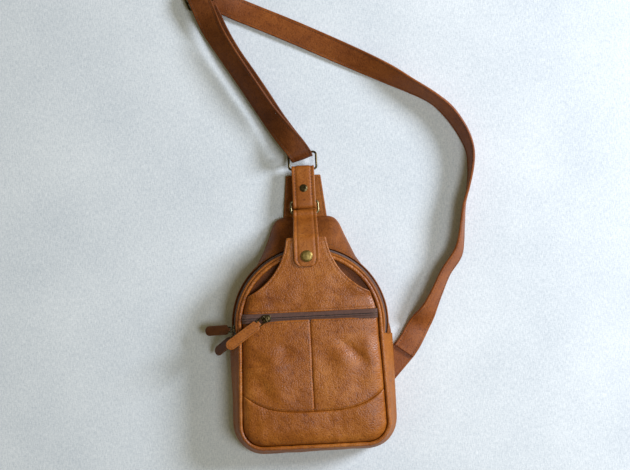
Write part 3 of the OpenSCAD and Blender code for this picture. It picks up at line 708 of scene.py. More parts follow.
def below_piping(p):
    """How far the cover has still to rise, near the front piping."""
    d = seg_distance(p, COVER_LINE)
    return 3.4 * np.exp(-d / 3.0) + 3.6 * np.exp(-d / 15)


def smooth(t):
    """An ease from 0 to 1."""
    t = np.clip(t, 0, 1)
    return t * t * (3 - 2 * t)


def pillow(p, seed, depth=0.8):
    """Broad and small swells of stuffed leather."""
    return depth * 0.7 * (wave(p, seed, 62) - 1) + 0.16 * wave(p, seed + 7, 24)


# Soft dents and swells in the pocket: x, y, half-lengths along and across, heading, rise (mm, degrees)
DENTS = [
    (-57, -36, 17, 7, -25, -2.1), (-44, -42, 16, 8, -25, 1.3), (-27, -27, 8, 7, 0, -1.3),
    (-52, -66, 16, 8, -50, -1.7), (-38, -74, 15, 9, -50, 1.1), (44, -30, 18, 5.5, -42, -1.9),
    (31, -34, 16, 8, -42, 1.3), (61, -30, 22, 7, -80, 1.3), (-64, -106, 12, 6, 20, -1.5),
    (20, -60, 14, 14, 0, 0.8), (48, -66, 10, 9, 30, -1.0), (-30, -112, 26, 7, 5, 0.7),
]


def dents(p):
    total = np.zeros(len(p))
    for x, y, along, across, heading, rise in DENTS:
        c, s = math.cos(math.radians(heading)), math.sin(math.radians(heading))
        u = ((p[:, 0] - x) * c + (p[:, 1] - y) * s) / along
        v = (-(p[:, 0] - x) * s + (p[:, 1] - y) * c) / across
        total += rise * np.exp(-(u * u + v * v))
    return total


def pocket_height(seed):
    """The cover's height: rolled at its seams, dipped at the zip and calm there, swelling below."""
    def height(p, d):
        roll = np.exp(-(d / 0.7)) + 0.35 * np.exp(-(d / 5.0))
        below_zip = LIP_Y - p[:, 1]
        zip_dip = COVER_CROWN * 1.2 * (1 - smooth((below_zip - 14) / 34))
        calm = smooth((below_zip - 8) / 22)
        rise = dents(p) + pillow(p, seed)
        rise = np.where(rise > 0, rise * calm, rise * (0.35 + 0.65 * calm))
        return POCKET_TOP + COVER_CROWN - below_piping(p) - roll - zip_dip + rise
    return height


def seam_y(x, d=0.0):
    """The curved seam above the bottom panel, d above its middle."""
    return SEAM_LOW + d + SEAM_RISE * min(1.2, abs(x) / 80) ** 3.2


def clip_plan(keep):
    """The part of the cover's outline where keep(x, y) holds, as a list in order."""
    return [q for q in resample(COVER_LINE, 0.6) if keep(*q)]


def side_panel(side):
    rim = clip_plan(lambda x, y: x * side > 0 and seam_y(x, SEAM_GAP) < y < LIP_Y)
    rim = sorted(rim, key=lambda q: -q[1])
    foot_x = rim[-1][0]
    seam = [foot_x + (SEAM_GAP * side - foot_x) * i / 60 for i in range(1, 61)]
    seam = [(x, seam_y(x, SEAM_GAP)) for x in seam]
    top = [(SEAM_GAP * side, LIP_Y), (rim[0][0], LIP_Y)]
    return [tuple(q) for q in rim] + seam + top


def foot_panel():
    rim = clip_plan(lambda x, y: y < seam_y(x, -SEAM_GAP))
    rim = sorted(rim, key=lambda q: math.atan2(q[0], -(q[1] + 60)))
    x0, x1 = rim[-1][0], rim[0][0]
    seam = [x0 + (x1 - x0) * i / 90 for i in range(1, 90)]
    seam = [(x, seam_y(x, -SEAM_GAP)) for x in seam]
    return [tuple(q) for q in rim] + seam


for side, label in ((-1, "left"), (1, "right")):
    ob = panel(f"pocket_panel_{label}_leather", side_panel(side), pocket_height(11 + side), "bag", [TAN],
               thick=COVER_T)
    finish_piece(ob, "leather_tan", f"pocket_panel_{label}")
ob = panel("bottom_panel_leather", foot_panel(), pocket_height(20), "bag", [TAN], thick=COVER_T)
finish_piece(ob, "leather_tan", "bottom_panel")


def surface_path(points, height_fn):
    """Plan points laid on a panel, as far from its edge as a stitch row."""
    p = np.array(points, float)
    return np.column_stack([p, height_fn(p, np.full(len(p), 2.4))])


def line(x0, y0, x1, y1, n=60):
    return [(x0 + (x1 - x0) * i / n, y0 + (y1 - y0) * i / n) for i in range(n + 1)]


def both_panels(p, d):
    return np.where(p[:, 0] < 0, pocket_height(10)(p, d), pocket_height(12)(p, d))


stitches("centre_seam_stitches", surface_path(line(-2.6, LIP_Y - 3, -2.6, -88), pocket_height(10)), "bag")
seam_row = [(x, seam_y(x, 2.5)) for x in np.linspace(-68, 68, 120)]
stitches("curved_seam_stitches", surface_path(seam_row, both_panels), "bag")
stitches("pocket_edge_stitches",
         surface_path(line(-69, LIP_Y - 2.6, 69, LIP_Y - 2.6, 80), both_panels), "bag")

OVERLAY_LOW = FOLD_Y + 0.1


def overlay_outline():
    """The yoke: an arch at its sides, hollow shoulders and a tongue at the top."""
    a0 = math.degrees(math.asin(OVERLAY_LOW / COVER_R))
    right = arc(0, 0, COVER_R, a0, 27.1, 14) + arc(95, 101, 74.4, 245.9, 186.3, 70)[1:]
    return right + [(-x, y) for x, y in reversed(right)]


def overlay_height(p, d):
    lip = 1.0 * np.exp(-d / 0.35) + 0.38 * np.exp(-((d - 2.5) / 0.8) ** 2)
    lip = lip - 0.16 * np.exp(-((d - 4.6) / 1.3) ** 2)
    near = below_piping(p) * (1 - smooth((p[:, 1] - 26) / 12))
    tongue = smooth((p[:, 1] - 46) / 14)
    crown = 0.9 * smooth((p[:, 1] - OVERLAY_LOW) / 20) * (1 - tongue)
    return POCKET_TOP - 0.1 + crown - near - lip + pillow(p, 31, 1.0) * (1 - tongue) - 0.1 * tongue


ob = panel("yoke_overlay_leather", overlay_outline(), overlay_height, "flap", [TAN, EDGE], thick=LEATHER,
           edge_slot=1)
finish_piece(ob, "leather_tan", "yoke_overlay")


def inset_line(outline, d):
    e = resample(outline, 1.2)
    return inset_rings(e, [d])[0]


def overlay_stitch_path(d):
    ring = inset_line(overlay_outline(), d)
    start = int(np.argmin(np.hypot(ring[:, 0] - 69, ring[:, 1] - 16)))
    ring = np.roll(ring, -start, axis=0)
    return ring[ring[:, 1] > 15.5]


ring = overlay_stitch_path(2.5)
for part, sel in (("right", ring[:, 0] > 14), ("left", ring[:, 0] < -14)):
    q = ring[sel]
    q = q[np.argsort(q[:, 1] - 0.001 * np.abs(q[:, 0]))]
    zq = overlay_height(q, np.full(len(q), 2.5))
    stitches(f"overlay_stitches_{part}", np.column_stack([q, zq]), "flap")
q = np.array(line(-67, OVERLAY_LOW + 2.5, 67, OVERLAY_LOW + 2.5, 80))
stitches("overlay_low_stitches", np.column_stack([q, overlay_height(q, np.full(len(q), 2.5))]), "flap")


# ---------------------------------------------------------------- piping, strip, gusset, hood

STRIP_R = 78.4
HOOD_EDGE_R = 83.4


def closed_bead(name, outline, z, r, material, seed):
    """A slightly uneven round bead along a closed outline, on no body yet."""
    p = resample(outline, 1.6)
    n3 = np.column_stack([p, np.full(len(p), z)])
    n3[:, 2] += 0.25 * wave(n3, seed, 45)
    radii = r * (1 + 0.05 * wave(n3, seed + 1, 14))
    return tube(name, n3, radii, None, material, 16, closed=True)


piping = closed_bead("front_piping_bead", front_closed(0.1), PIPING_Z + 0.2, 2.15, TAN, 3)
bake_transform(piping)
finish_piece(piping, "leather_tan", "front_piping", "flap_piping")

strip_path = [(STRIP_R * math.cos(a), STRIP_R * math.sin(a), PIPING_Z - 0.6)
              for a in np.linspace(-END_ANGLE * 0.9, math.pi + END_ANGLE * 0.9, 240)]
strip = tube("rolled_strip_bead", strip_path, 1.5, None, TAN_SIDE, 14)
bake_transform(strip)
finish_piece(strip, "leather_tan", "flap_strip")


def skin_band(name, sections, seed, material, lump, samples=34, thick=1.9):
    """A soft wall: one smooth section per station, a little uneven, with real thickness."""
    grid = []
    for sec in sections:
        rows = spline(sec, 8)
        run = np.sum(np.linalg.norm(np.diff(rows, axis=0), axis=1))
        grid.append(resample(rows, run / samples, closed=False)[:samples + 1])
    m = min(len(g) for g in grid)
    grid = np.array([g[:m] for g in grid])
    du = np.gradient(grid, axis=0)
    dv = np.gradient(grid, axis=1)
    normal = np.cross(du, dv)
    normal /= np.linalg.norm(normal, axis=2)[..., None] + 1e-9
    mid = grid.reshape(-1, 3).mean(0)
    flip = np.sign(np.sum((grid - mid) * normal))
    normal *= flip
    ease = np.sin(np.linspace(0, math.pi, m)) ** 0.7
    bump = wave(grid.reshape(-1, 3), seed, 60).reshape(len(grid), m) * 0.6
    bump += wave(grid.reshape(-1, 3), seed + 1, 24).reshape(len(grid), m) * 0.22
    outer = grid + normal * (lump * bump * ease[None, :])[..., None]
    inner = grid - normal * thick
    n = len(grid)
    verts = np.vstack([outer.reshape(-1, 3), inner.reshape(-1, 3)])
    k = n * m
    faces = []
    for i in range(n - 1):
        for j in range(m - 1):
            a, b, c, d = i * m + j, i * m + j + 1, (i + 1) * m + j + 1, (i + 1) * m + j
            faces.append((a, b, c, d))
            faces.append((k + a, k + d, k + c, k + b))
        for j in (0, m - 1):
            faces.append((i * m + j, (i + 1) * m + j, k + (i + 1) * m + j, k + i * m + j))
    for i in (0, n - 1):
        for j in range(m - 1):
            faces.append((i * m + j, i * m + j + 1, k + i * m + j + 1, k + i * m + j))
    return recalc(add_mesh(name, verts, faces, [material], "bag")), outer


def polar_xy(a, r):
    return r * math.cos(a), r * math.sin(a)


def soft_back_r(a):
    """The back's outline with the leather's pull: slimmer at both shoulders, more so at the left."""
    off = abs(math.degrees(a) - 90)
    span = math.degrees(END_ANGLE) + 90
    pull = smooth((span - off) / 15) * smooth((off - 12) / 12)
    return back_r(a) - pull * (4.6 + (1.4 if math.degrees(a) > 90 else 0.0))


hood_sections = []
for a in np.linspace(math.pi + END_ANGLE, -END_ANGLE, 230):
    b = soft_back_r(a)
    e = HOOD_EDGE_R
    ctrl = [(e - 0.9, 27.4), (e - 0.2, 28.6), (e + 0.8, 28.2), (e + 0.35 * (b - e) + 1.2, 23.6),
            (e + 0.75 * (b - e) + 2.2, 14.2), (b + 0.9, 7.0), (b, 2.6)]
    hood_sections.append([(*polar_xy(a, r), z) for r, z in ctrl])
hood, hood_skin = skin_band("hood_leather", hood_sections, 41, HOOD_SHADED_TAN, lump=0.9)
finish_piece(hood, "leather_tan", "hood")
stitches("hood_edge_stitches", hood_skin[2:-2, 5], "bag")

front = np.array(resample(front_lower(0, -ZIP_END_Y + 0.6), 1.6, closed=False))
back = np.array(back_lower())
back[:, 1] -= np.clip(1 - np.abs(back[:, 1] + 15) / 6, 0, 1)
back = resample(back, 1.0, closed=False)
back = np.array([back[int(round(i / (len(front) - 1) * (len(back) - 1)))] for i in range(len(front))])
tan_f = np.gradient(front, axis=0)
tan_f /= np.linalg.norm(tan_f, axis=1)[:, None]
out_f = np.column_stack([-tan_f[:, 1], tan_f[:, 0]])
gusset_sections = []
for f, b, o in zip(front, back, out_f):
    def at(base, push, z):
        return (*(base + o * push), z)
    gusset_sections.append([at(f, 0.6, 36.6), at(f, 2.2, 36.9), at(f, 3.6, 34.6),
                            at(f * 0.6 + b * 0.4, 3.7, 26),
                            at(f * 0.15 + b * 0.85, 4.0, 15), at(b, 2.9, 7), at(b, 0.2, 2.6)])
gusset, gusset_skin = skin_band("gusset_leather", gusset_sections, 57, TAN_SIDE, lump=1.0)
finish_piece(gusset, "leather_tan", "gusset")

low = [(x, y, 3.1) for x, y in back_lower()]
high = [(*polar_xy(a, soft_back_r(a)), 3.1) for a in np.linspace(math.pi + END_ANGLE, -END_ANGLE, 200)][1:-1]
rim = resample(np.array(low + high), 1.8)
ob = tube("back_piping_bead", rim, 1.5, "bag", TAN_SIDE, 12, closed=True)
finish_piece(ob, "leather_tan")
ob = panel("back_panel_leather", rim[:, :2], lambda p, d: 2.3 + 0 * d, "bag", [TAN_SIDE], thick=LEATHER,
           underside=True, step=4.0, rings=(0.6, 1.6))
finish_piece(ob, "leather_tan", "back_panel")


# ---------------------------------------------------------------- zips

# The main zip's tapes lean: unit vectors down the slope and into the bag, as (radius, z)
ZD = np.array([2.4, -5.0]) / math.hypot(2.4, 5.0)
ZI = np.array([ZD[1], -ZD[0]])


def zip_at(down, depth):
    """Radius and height of a point on the main zip."""
    q = np.array([ZIP_R, ZIP_Z]) + down * ZD + depth * ZI
    return q[0], q[1]


def coil_ridge(name, path, across, lift, body, pitch=1.15, width=1.5, height=0.22):
    """The woven-over coil: small crosswise ribs along a path; across and lift are unit vectors per point."""
    seg = np.linalg.norm(np.diff(path, axis=0), axis=1)
    at = np.concatenate([[0], np.cumsum(seg)])
    n = int(at[-1] / pitch)
    verts, faces = [], []
    for i in range(n):
        s = (i + 0.5) * pitch
        c = np.array([np.interp(s, at, path[:, k]) for k in range(3)])
        w = np.array([np.interp(s, at, across[:, k]) for k in range(3)])
        u = np.array([np.interp(s, at, lift[:, k]) for k in range(3)])
        t = np.cross(w, u)
        base = len(verts)
        for q, hgt in ((-0.5, 0.1), (-0.25, 0.85), (0.0, 1.0), (0.25, 0.85), (0.5, 0.1)):
            for tt, th in ((-0.5, 0.15), (0.0, 1.0), (0.5, 0.15)):
                verts.append(c + w * width * q + t * pitch * 0.96 * tt + u * height * hgt * th)
        for q in range(4):
            for tt in range(2):
                k = base + q * 3 + tt
                faces.append((k, k + 1, k + 4, k + 3))
    return add_mesh(name, verts, faces, [TAPE], body)


def tape_drop(x):
    """The pocket zip dips under the piping at both ends."""
    return 3.4 * np.exp(-(COVER_R - np.abs(x)) / 3.2)


def pocket_tape(label, side):
    """One tape: flat, then folded up over its coil, with fine ribs across the fold."""
    x = np.linspace(-COVER_R + 0.6, COVER_R - 0.6, 760)
    rows = [(4.9, 0.0), (4.1, 0.05), (3.3, 0.02), (2.3, 0.05), (1.95, 0.3), (1.5, 0.8), (1.05, 0.98),
            (0.6, 0.85), (0.3, 0.45), (0.22, -0.3)]
    rib = 0.09 * np.cos(2 * math.pi * x / 1.2)
    verts = []
    for d, h in rows:
        lift = 0.6 + h + (rib if 0.4 < d < 2.2 else 0)
        verts += [(xx, ZIP_Y + side * d, POCKET_Z + zz - dd)
                  for xx, zz, dd in zip(x, lift + 0 * x, tape_drop(x))]
    n = len(x)
    verts += [(xx, ZIP_Y + side * d, POCKET_Z - 0.1 - dd)
              for d in (0.22, 4.9) for xx, dd in zip(x, tape_drop(x))]
    order = list(range(len(rows) + 2))
    faces = []
    for r in range(len(order)):
        p, q = order[r], order[(r + 1) % len(order)]
        faces += [(p * n + i, p * n + i + 1, q * n + i + 1, q * n + i) for i in range(n - 1)]
    faces += [tuple(k * n for k in order), tuple(k * n + n - 1 for k in reversed(order))]
    ob = recalc(add_mesh(f"pocket_tape_{label}_cloth", verts, faces, [TAPE], "bag"))
    finish_piece(ob, "zip_tape", f"pocket_zip_tape_{label}")


pocket_tape("lower", -1)
pocket_tape("upper", 1)

bag_line = front_closed(-9.0)
bag_low = [q for q in resample(bag_line, 1.5) if q[1] < 12.6]   # it stops short of the fold
centre = np.mean(bag_low, axis=0)
bag_low.sort(key=lambda q: math.atan2(q[1] - centre[1], q[0] - centre[0]))
ob = panel("pocket_lining_cloth", [tuple(q) for q in bag_low], lambda p, d: 42.9 - 4.6 * np.exp(-d / 3.0),
           "bag", [LINING], thick=0.5, underside=True, step=3.0)
finish_piece(ob, "lining", "pocket_lining")

coil_end, fold_angle = END_ANGLE - 0.02, math.asin(FOLD_Y / ZIP_R) - 0.01
flap_angle = math.asin((FOLD_Y + 0.5) / ZIP_R)
for side, label in ((-1, "front"), (1, "back")):
    groups = [("bag", -coil_end, math.pi + coil_end)] if side > 0 else [
        ("flap", flap_angle, math.pi - flap_angle),
        ("bag", -coil_end, fold_angle),
        ("bag", math.pi - fold_angle, math.pi + coil_end)]
    for i, (body, a0, a1) in enumerate(groups):
        a = np.linspace(a0, a1, max(8, int(90 * (a1 - a0))))
        r, z = zip_at(side * 1.15, -0.02)
        radial = np.column_stack([np.cos(a), np.sin(a), 0 * a])
        path = radial * r + (0, 0, z)
        across = radial * ZD[0] + np.array((0, 0, ZD[1]))
        lift = -(radial * ZI[0] + np.array((0, 0, ZI[1])))
        ob = coil_ridge(f"main_coil_{label}_ribs_{i}", path, across, lift, body)
        finish_piece(ob, "zip_tape")


# ---------------------------------------------------------------- snap strap, connector loop

def ribbon(name, side_path, half_width, thick, body, materials, crown=0.9, end_round=0.0, frame_fn=None,
           closed=False):
    """A folded leather strap whose middle line runs in the Y-Z plane; its middle band stands proud."""
    p = np.array(side_path, float)
    n = len(p)
    t = (np.roll(p, -1, 0) - np.roll(p, 1, 0)) if closed else np.gradient(p, axis=0)
    t /= np.linalg.norm(t, axis=1)[:, None]
    up = np.column_stack([-t[:, 1], t[:, 0]])
    seg = np.concatenate([[0], np.cumsum(np.linalg.norm(np.diff(p, axis=0), axis=1))])
    left = seg[-1] - seg
    xs = np.array([1.0, 0.99, 0.955, 0.9, 0.8, 0.745, 0.70, 0.63, 0.56, 0.5, 0.3, 0.0])
    hs = np.array([0.35, 0.72, 0.93, 1.0, 0.9, 0.5, 0.42, 0.86, 1.3, 1.42, 1.5, 1.52])
    hs = 1 + (hs - 1) * crown
    face = [(a, h) for a, h in zip(xs, hs)] + [(-a, h) for a, h in reversed(list(zip(xs, hs))[:-1])]
    prof = face + [(-a, -min(h, 1.0)) for a, h in face]
    m = len(prof)
    verts = []
    for i in range(n):
        w = half_width(seg[i] / seg[-1])
        if end_round and left[i] < end_round:
            w -= end_round - math.sqrt(max(end_round ** 2 - (end_round - left[i]) ** 2, 0.04))
        for a, h in prof:
            yz = p[i] + up[i] * h * thick / 2
            verts.append((a * w, yz[0], yz[1]))
    last = n if closed else n - 1
    faces = loft_faces(n, m, closed, capped=False)
    slots = [1 if k % m in (0, m // 2 - 1, m - 1, m // 2) else 0 for i in range(last) for k in range(m)]
    if not closed:
        faces += [tuple(range(m)), tuple((n - 1) * m + k for k in range(m - 1, -1, -1))]
        slots += [1, 1]
    verts = np.array(verts)
    if frame_fn:
        verts = frame_fn(verts)
    ob = recalc(add_mesh(name, verts, faces, materials, body, slots))
    return ob, p, up, seg


# The snap strap's middle line (y, z): round the lower ring's bar, up the hood and flat over the front
SNAP_T, SNAP_END_R, SNAP_END_Y = 2.2, 8.5, 62.3
wrap = [(RING_BAR[0] + 3.0 * math.cos(math.radians(a)), RING_BAR[1] + 2.7 * math.sin(math.radians(a)))
        for a in range(-15, 91, 15)]
slope = [(116.4, 19.9), (113.4, 22.0), (110, 26.3), (105, 32.8), (100, 39.3), (96.4, 44.0), (93.6, 46.6),
         (90, 47.5), (84, 47.62), (76, 47.62), (68, 47.6), (SNAP_END_Y, 47.45)]
snap_fine = resample(spline(wrap + slope, 6), 0.8, closed=False)


def snap_half(u):
    return 12.6 + 1.3 * u


ob, sp, sup, sseg = ribbon("snap_strap_leather", snap_fine, snap_half, SNAP_T, "snap_tab", [TAN_FINE, EDGE],
                           end_round=SNAP_END_R)
finish_piece(ob, "leather_tan", "snap_strap")


def ribbon_side_stitches(name, p, up, seg, half, thick, body, start, stop, frame_fn=None):
    """A stitch row near each side of a ribbon, from start to stop along it."""
    for s in (-1, 1):
        sel = (seg > start) & (seg < stop)
        y = p[sel] + up[sel] * thick / 2 * 0.72
        x = s * 0.72 * np.array([half(v / seg[-1]) for v in seg[sel]])
        path = np.column_stack([x, y])
        ups = np.column_stack([np.zeros(sel.sum()), up[sel]])
        if frame_fn:
            base = frame_fn(path)
            ups = frame_fn(path + ups) - base
            path = base
        row = strap_stitches(f"{name}_{'l' if s < 0 else 'r'}", path, ups, body)
        set_material(row, THREAD)


def end_stitches(name, half, r, y_end, z, body):
    """The row round the strap's free end."""
    inner = half - 3.4
    pts = arc(inner - (r - 3.4), y_end + r, r - 3.4, 0, -90, 10)
    pts = pts + [(-a, b) for a, b in reversed(pts)]
    path = resample(np.array([(a, b, z) for a, b in pts]), 0.6, closed=False)
    return stitches(name, path, body)


ribbon_side_stitches("snap_strap_stitches", sp, sup, sseg, snap_half, SNAP_T, "snap_tab", 13, sseg[-1] - 9)
end_stitches("snap_end_stitches", 13.8, SNAP_END_R, SNAP_END_Y, 48.35, "snap_tab")

fall_c, fall_s = math.cos(CONNECTOR_FALL), math.sin(CONNECTOR_FALL)


def to_connector(v):
    """From the connector's own frame, along its fall from the lower ring, to the model's."""
    v = np.asarray(v, float)
    y, z = v[:, 1], v[:, 2]
    return np.column_stack([v[:, 0], RING_BAR[0] + y * fall_c + z * fall_s,
                            RING_BAR[1] - y * fall_s + z * fall_c])


LOOP_LOW, LOOP_HIGH = 13.2, 48.6
CONNECTOR_HALF, CONNECTOR_T = 12.35, 1.9


def racetrack(r):
    """The connector loop's middle line: two straight layers with a round far end and a longer near one."""
    top = [(y, r) for y in np.linspace(LOOP_LOW, LOOP_HIGH, 40)]
    far = [(LOOP_HIGH + r * math.cos(a), r * math.sin(a))
           for a in np.linspace(math.pi / 2, -math.pi / 2, 14)][1:-1]
    under = [(y, -r) for y in np.linspace(LOOP_HIGH, LOOP_LOW, 40)]
    near = [(LOOP_LOW + 2.6 * r * math.cos(a), r * math.sin(a))
            for a in np.linspace(-math.pi / 2, -1.5 * math.pi, 14)][1:-1]
    return top + far + under + near


def connector_half(u):
    return CONNECTOR_HALF


ob, lp, lup, lseg = ribbon("upper_loop_leather", racetrack(2.75), connector_half, CONNECTOR_T, "connector",
                           [TAN_FINE, EDGE], crown=0.75, frame_fn=to_connector, closed=True)
finish_piece(ob, "leather_tan", "upper_loop")
ribbon_side_stitches("upper_loop_stitches", lp, lup, lseg, connector_half, CONNECTOR_T, "connector", 1, 34.5,
                     to_connector)


# ---------------------------------------------------------------- pulls

POCKET_PULL_TURN = 214.3
POCKET_PULL_X = -47.0
PULL_HOLE = 1.1


def rot(axis, degrees):
    return np.array(Matrix.Rotation(math.radians(degrees), 3, axis))


def pull_frame(slider_angle, turn, lift):
    """Places a flat pull on the main zip's slider at that angle, turned in its face and lifted off it."""
    tilt = math.degrees(math.atan2(ZD[0], -ZD[1]))
    r, z = zip_at(0, -1.5)
    base = rot("Z", slider_angle)
    face = base @ rot("Y", 90 - tilt)
    origin = base @ np.array((r, 0, z)) + face @ np.array((0, 0, PULL_HOLE))
    turned = face @ rot("Z", turn) @ rot("Y", -lift)
    return lambda v: np.asarray(v, float) @ turned.T + origin


def pocket_frame():
    """Places a flat pull on the pocket's slider."""
    turned = rot("Z", POCKET_PULL_TURN)
    origin = np.array((POCKET_PULL_X, ZIP_Y, POCKET_Z + 2.7 + PULL_HOLE))
    return lambda v: np.asarray(v, float) @ turned.T + origin


def leaf(node, place, at, length, w, half, body, material, edge, slot, thick=2.7):
    """A leather pull: a flat tongue with a round end, of length and width w, starting at its link."""
    neck = half - 0.75
    outline = [(at - 1.6, -neck), (at + 1.4, -neck), (at + 2.2, -w / 2 + 0.5), (at + 3.2, -w / 2)]
    outline += arc(at + length - w / 2, 0, w / 2, -90, 90, 20)
    outline += [(at + 3.2, w / 2), (at + 2.2, w / 2 - 0.5), (at + 1.4, neck), (at - 1.6, neck)]

    def height(p, d):
        return thick / 2 - 0.5 * np.exp(-d / 0.35) - 0.25 * np.exp(-((d - 1.7) / 0.5) ** 2)

    verts, faces, slots = panel_data(outline, height, thick=thick, step=1.0, edge_slot=1,
                                     rings=(0.25, 0.6, 1.2, 1.8, 2.4), underside=True)
    finish_piece(add_mesh(f"{node}_leather", place(verts), faces, [material, edge], body, slots), slot, node)
    ring = inset_line(outline, 1.7)
    keep = ring[ring[:, 0] > at + 3.5]
    keep = keep[np.argsort(np.arctan2(keep[:, 1], keep[:, 0] - (at + 4)))]
    path = np.column_stack([keep, np.full(len(keep), thick / 2 - 0.18)])
    path = resample(path, 0.5, closed=False)
    ups = place(path + (0, 0, 1.0)) - place(path)
    strap_stitches(f"{node}_leather_stitches", place(path), ups, body, length=2.0, pitch=3.0, width=0.2)


# The main pulls get the dark leather and the dark cut edge: painted shade.
for node, place, body in (("main_pull_a", pull_frame(181.1, 3, 36), "first_main_pull"),
                          ("main_pull_b", pull_frame(187.2, 26, 21), "second_main_pull")):
    leaf(node, place, 6, 30, 10.5, 2.6, body, DARK, EDGE_DARK, "leather_dark")
leaf("pocket_pull", pocket_frame(), 9, 42, 11, 3.0, "pocket_zip_pull", TAN_FINE, EDGE, "leather_tan")


# ---------------------------------------------------------------- back tab, strap anchor

def flat_height(top):
    """A flat panel with a rounded edge and a shallow groove for its stitches."""
    return lambda p, d: top - 0.5 * np.exp(-d / 0.4) - 0.3 * np.exp(-((d - 2.6) / 0.7) ** 2)


tab = [(-25, 104.2), (25, 104.2), (19, 161), (-19, 161)]
ob = panel("back_tab_leather", tab, flat_height(2.5), "bag", [TAN_SIDE, EDGE_DARK], thick=2.4, edge_slot=1,
           underside=True)
finish_piece(ob, "leather_dark", "back_tab")
ring = inset_line(tab, 2.6)
ring = np.vstack([ring, ring[:1]])
stitches("back_tab_stitches", np.column_stack([ring, np.full(len(ring), 2.25)]), "bag")

heading = math.radians(47)
ca, sa = math.cos(heading), math.sin(heading)
corners = ((-26, -12.8), (12, -12.8), (12, 12.8), (-26, 12.8))
anchor = [(96 + u * ca - v * sa, -42 + u * sa + v * ca) for u, v in corners]
ob = panel("strap_anchor_leather", anchor, flat_height(2.15), "bag", [STRAP_TAN, EDGE], thick=2.1,
           edge_slot=1, underside=True)
finish_piece(ob, "leather_tan", "strap_anchor")


# ---------------------------------------------------------------- metal and the rest of the CAD nodes

def softened(node, width, material, slot, segments):
    """The same CAD shape with its sharp edges rounded, as a piece of its own."""
    src = nodes[node]
    mesh = src.data.copy()
    ob = bpy.data.objects.new(node + "_rounded", mesh)
    bpy.context.scene.collection.objects.link(ob)
    mesh.materials.clear()
    mesh.materials.append(material)
    bm = bmesh.new()
    bm.from_mesh(mesh)
    bmesh.ops.remove_doubles(bm, verts=bm.verts, dist=1e-6)
    bmesh.ops.dissolve_limit(bm, angle_limit=math.radians(2), verts=bm.verts, edges=bm.edges)
    bm.to_mesh(mesh)
    bm.free()
    mod = ob.modifiers.new("soft", "BEVEL")
    mod.width = width * MM
    mod.segments = segments
    mod.limit_method = "ANGLE"
    mod.angle_limit = math.radians(35)
    dg = bpy.context.evaluated_depsgraph_get()
    done = bpy.data.meshes.new_from_object(ob.evaluated_get(dg))
    ob.modifiers.clear()
    ob.data = done
    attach(ob, src["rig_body"])
    finish_piece(ob, slot, node)


def pocket_slider():
    """A shield-shaped top plate with a rim, and a wire arch that the pull's link hangs from."""
    x0, y0, top = -46.0, ZIP_Y, 46.75
    shield = [(4.7, -2.4), (4.7, 2.4), (2.6, 3.9), (-2.6, 3.9), (-4.7, 2.2),
              (-4.7, -2.2), (-2.6, -3.9), (2.6, -3.9)]
    plan = [(x0 + x, y0 + y) for x, y in reversed(resample(shield, 0.8))]

    def height(p, d):
        return top - 0.55 * np.exp(-d / 0.3) - 0.3 * np.exp(-((d - 1.3) / 0.45) ** 2)

    verts, faces, slots = panel_data(plan, height, thick=1.5, step=0.7, rings=(0.2, 0.5, 0.9, 1.3, 1.7),
                                     underside=True)
    plate = add_mesh("pocket_slider_plate", verts, faces, [ANTIQUE], "pocket_zip_slider")
    finish_piece(plate, "antique_brass", "pocket_slider")
    turned = rot("Z", POCKET_PULL_TURN)
    arch = [(2.5 * math.cos(a), 0, -0.9 + 3.4 * math.sin(a)) for a in np.linspace(0, math.pi, 16)]
    path = np.array(arch) @ turned.T + (POCKET_PULL_X, ZIP_Y, top + 0.75)
    finish_piece(tube("pocket_slider_arch", path, 0.75, "pocket_zip_slider", ANTIQUE, 12), "antique_brass")
    path = [(x0 + x, y0, POCKET_Z - 0.6) for x in np.linspace(-4.4, 4.4, 8)]
    finish_piece(tube("pocket_slider_keel", path, 1.2, "pocket_zip_slider", ANTIQUE, 10), "antique_brass")


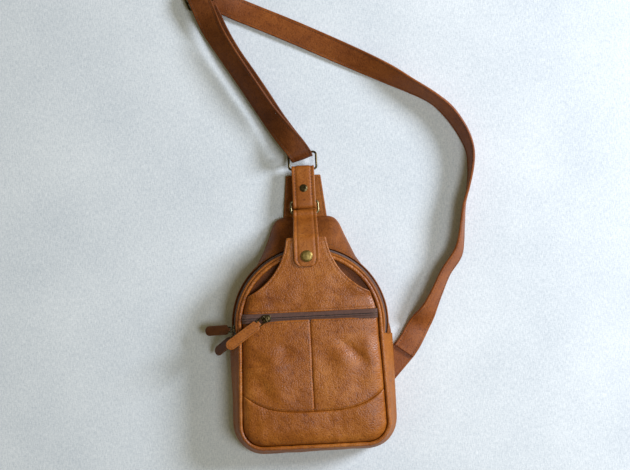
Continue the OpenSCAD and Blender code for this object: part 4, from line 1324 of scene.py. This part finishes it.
pocket_slider()
for node in ("main_slider_a", "main_slider_b"):
    softened(node, 0.8, ANTIQUE, "antique_brass", 3)

LOOKS = {
    TAN: ["front_panel", "snap_strap_anchor"],
    # The flap panel, sunk under the overlay, gets the dark strap leather: painted shade in that recess.
    STRAP_DARK: ["flap_panel"],
    LINING: ["main_lining", "flap_lining"],
    TAPE: ["main_zip_tape_back", "main_zip_tape_ends", "flap_zip_tape"],
    COIL: ["main_coil_back", "main_coil_ends", "flap_coil", "pocket_coil_upper", "pocket_coil_lower"],
    ANTIQUE: ["main_zip_stops", "pocket_zip_stops", "main_pull_a_link", "main_pull_b_link",
              "pocket_pull_link", "snap_socket", "snap_stud", "upper_ring", "loop_rivet",
              "adjuster_frame", "adjuster_bar"],
    PALE_BRASS: ["lower_ring"],
    BRIGHT: ["snap_cap"],
}
for material, names in LOOKS.items():
    for n in names:
        set_material(nodes[n], material)


# ---------------------------------------------------------------- floor

def floor():
    """Pale linen: fine threads both ways, the upright ones a little longer."""
    g = Graph("floor_cloth")
    here = g.object_place()

    def threads(sx, sy, scale):
        stretch = g.add("ShaderNodeVectorMath", {0: here, 1: (sx, sy, 1.0)}, operation="MULTIPLY").outputs[0]
        return g.noise(stretch, scale, 3, 0.65)

    warp, weft = threads(1.0, 0.22, 1050), threads(0.3, 1.0, 1050)
    broad = g.noise(here, 9, 3, 0.5)
    weave = g.math("ADD", g.math("MULTIPLY", warp, 0.6), g.math("MULTIPLY", weft, 0.4))
    tone = g.math("ADD", g.math("MULTIPLY", weave, 0.8), g.math("MULTIPLY", broad, 0.2))
    g.feed(g.shader.inputs["Base Color"],
           g.ramp(tone, [(0.36, srgb(196, 202, 208)), (0.64, srgb(238, 240, 241))]))
    g.feed(g.shader.inputs["Roughness"], 0.9)
    g.feed(g.shader.inputs["Normal"], g.bump(weave, 0.35, 0.0004))
    s, z = 3000, -0.8
    corners = [(-s, -s, z), (s, -s, z), (s, s, z), (-s, s, z)]
    add_mesh("floor", corners, [(0, 1, 2, 3)], [g.material])


floor()
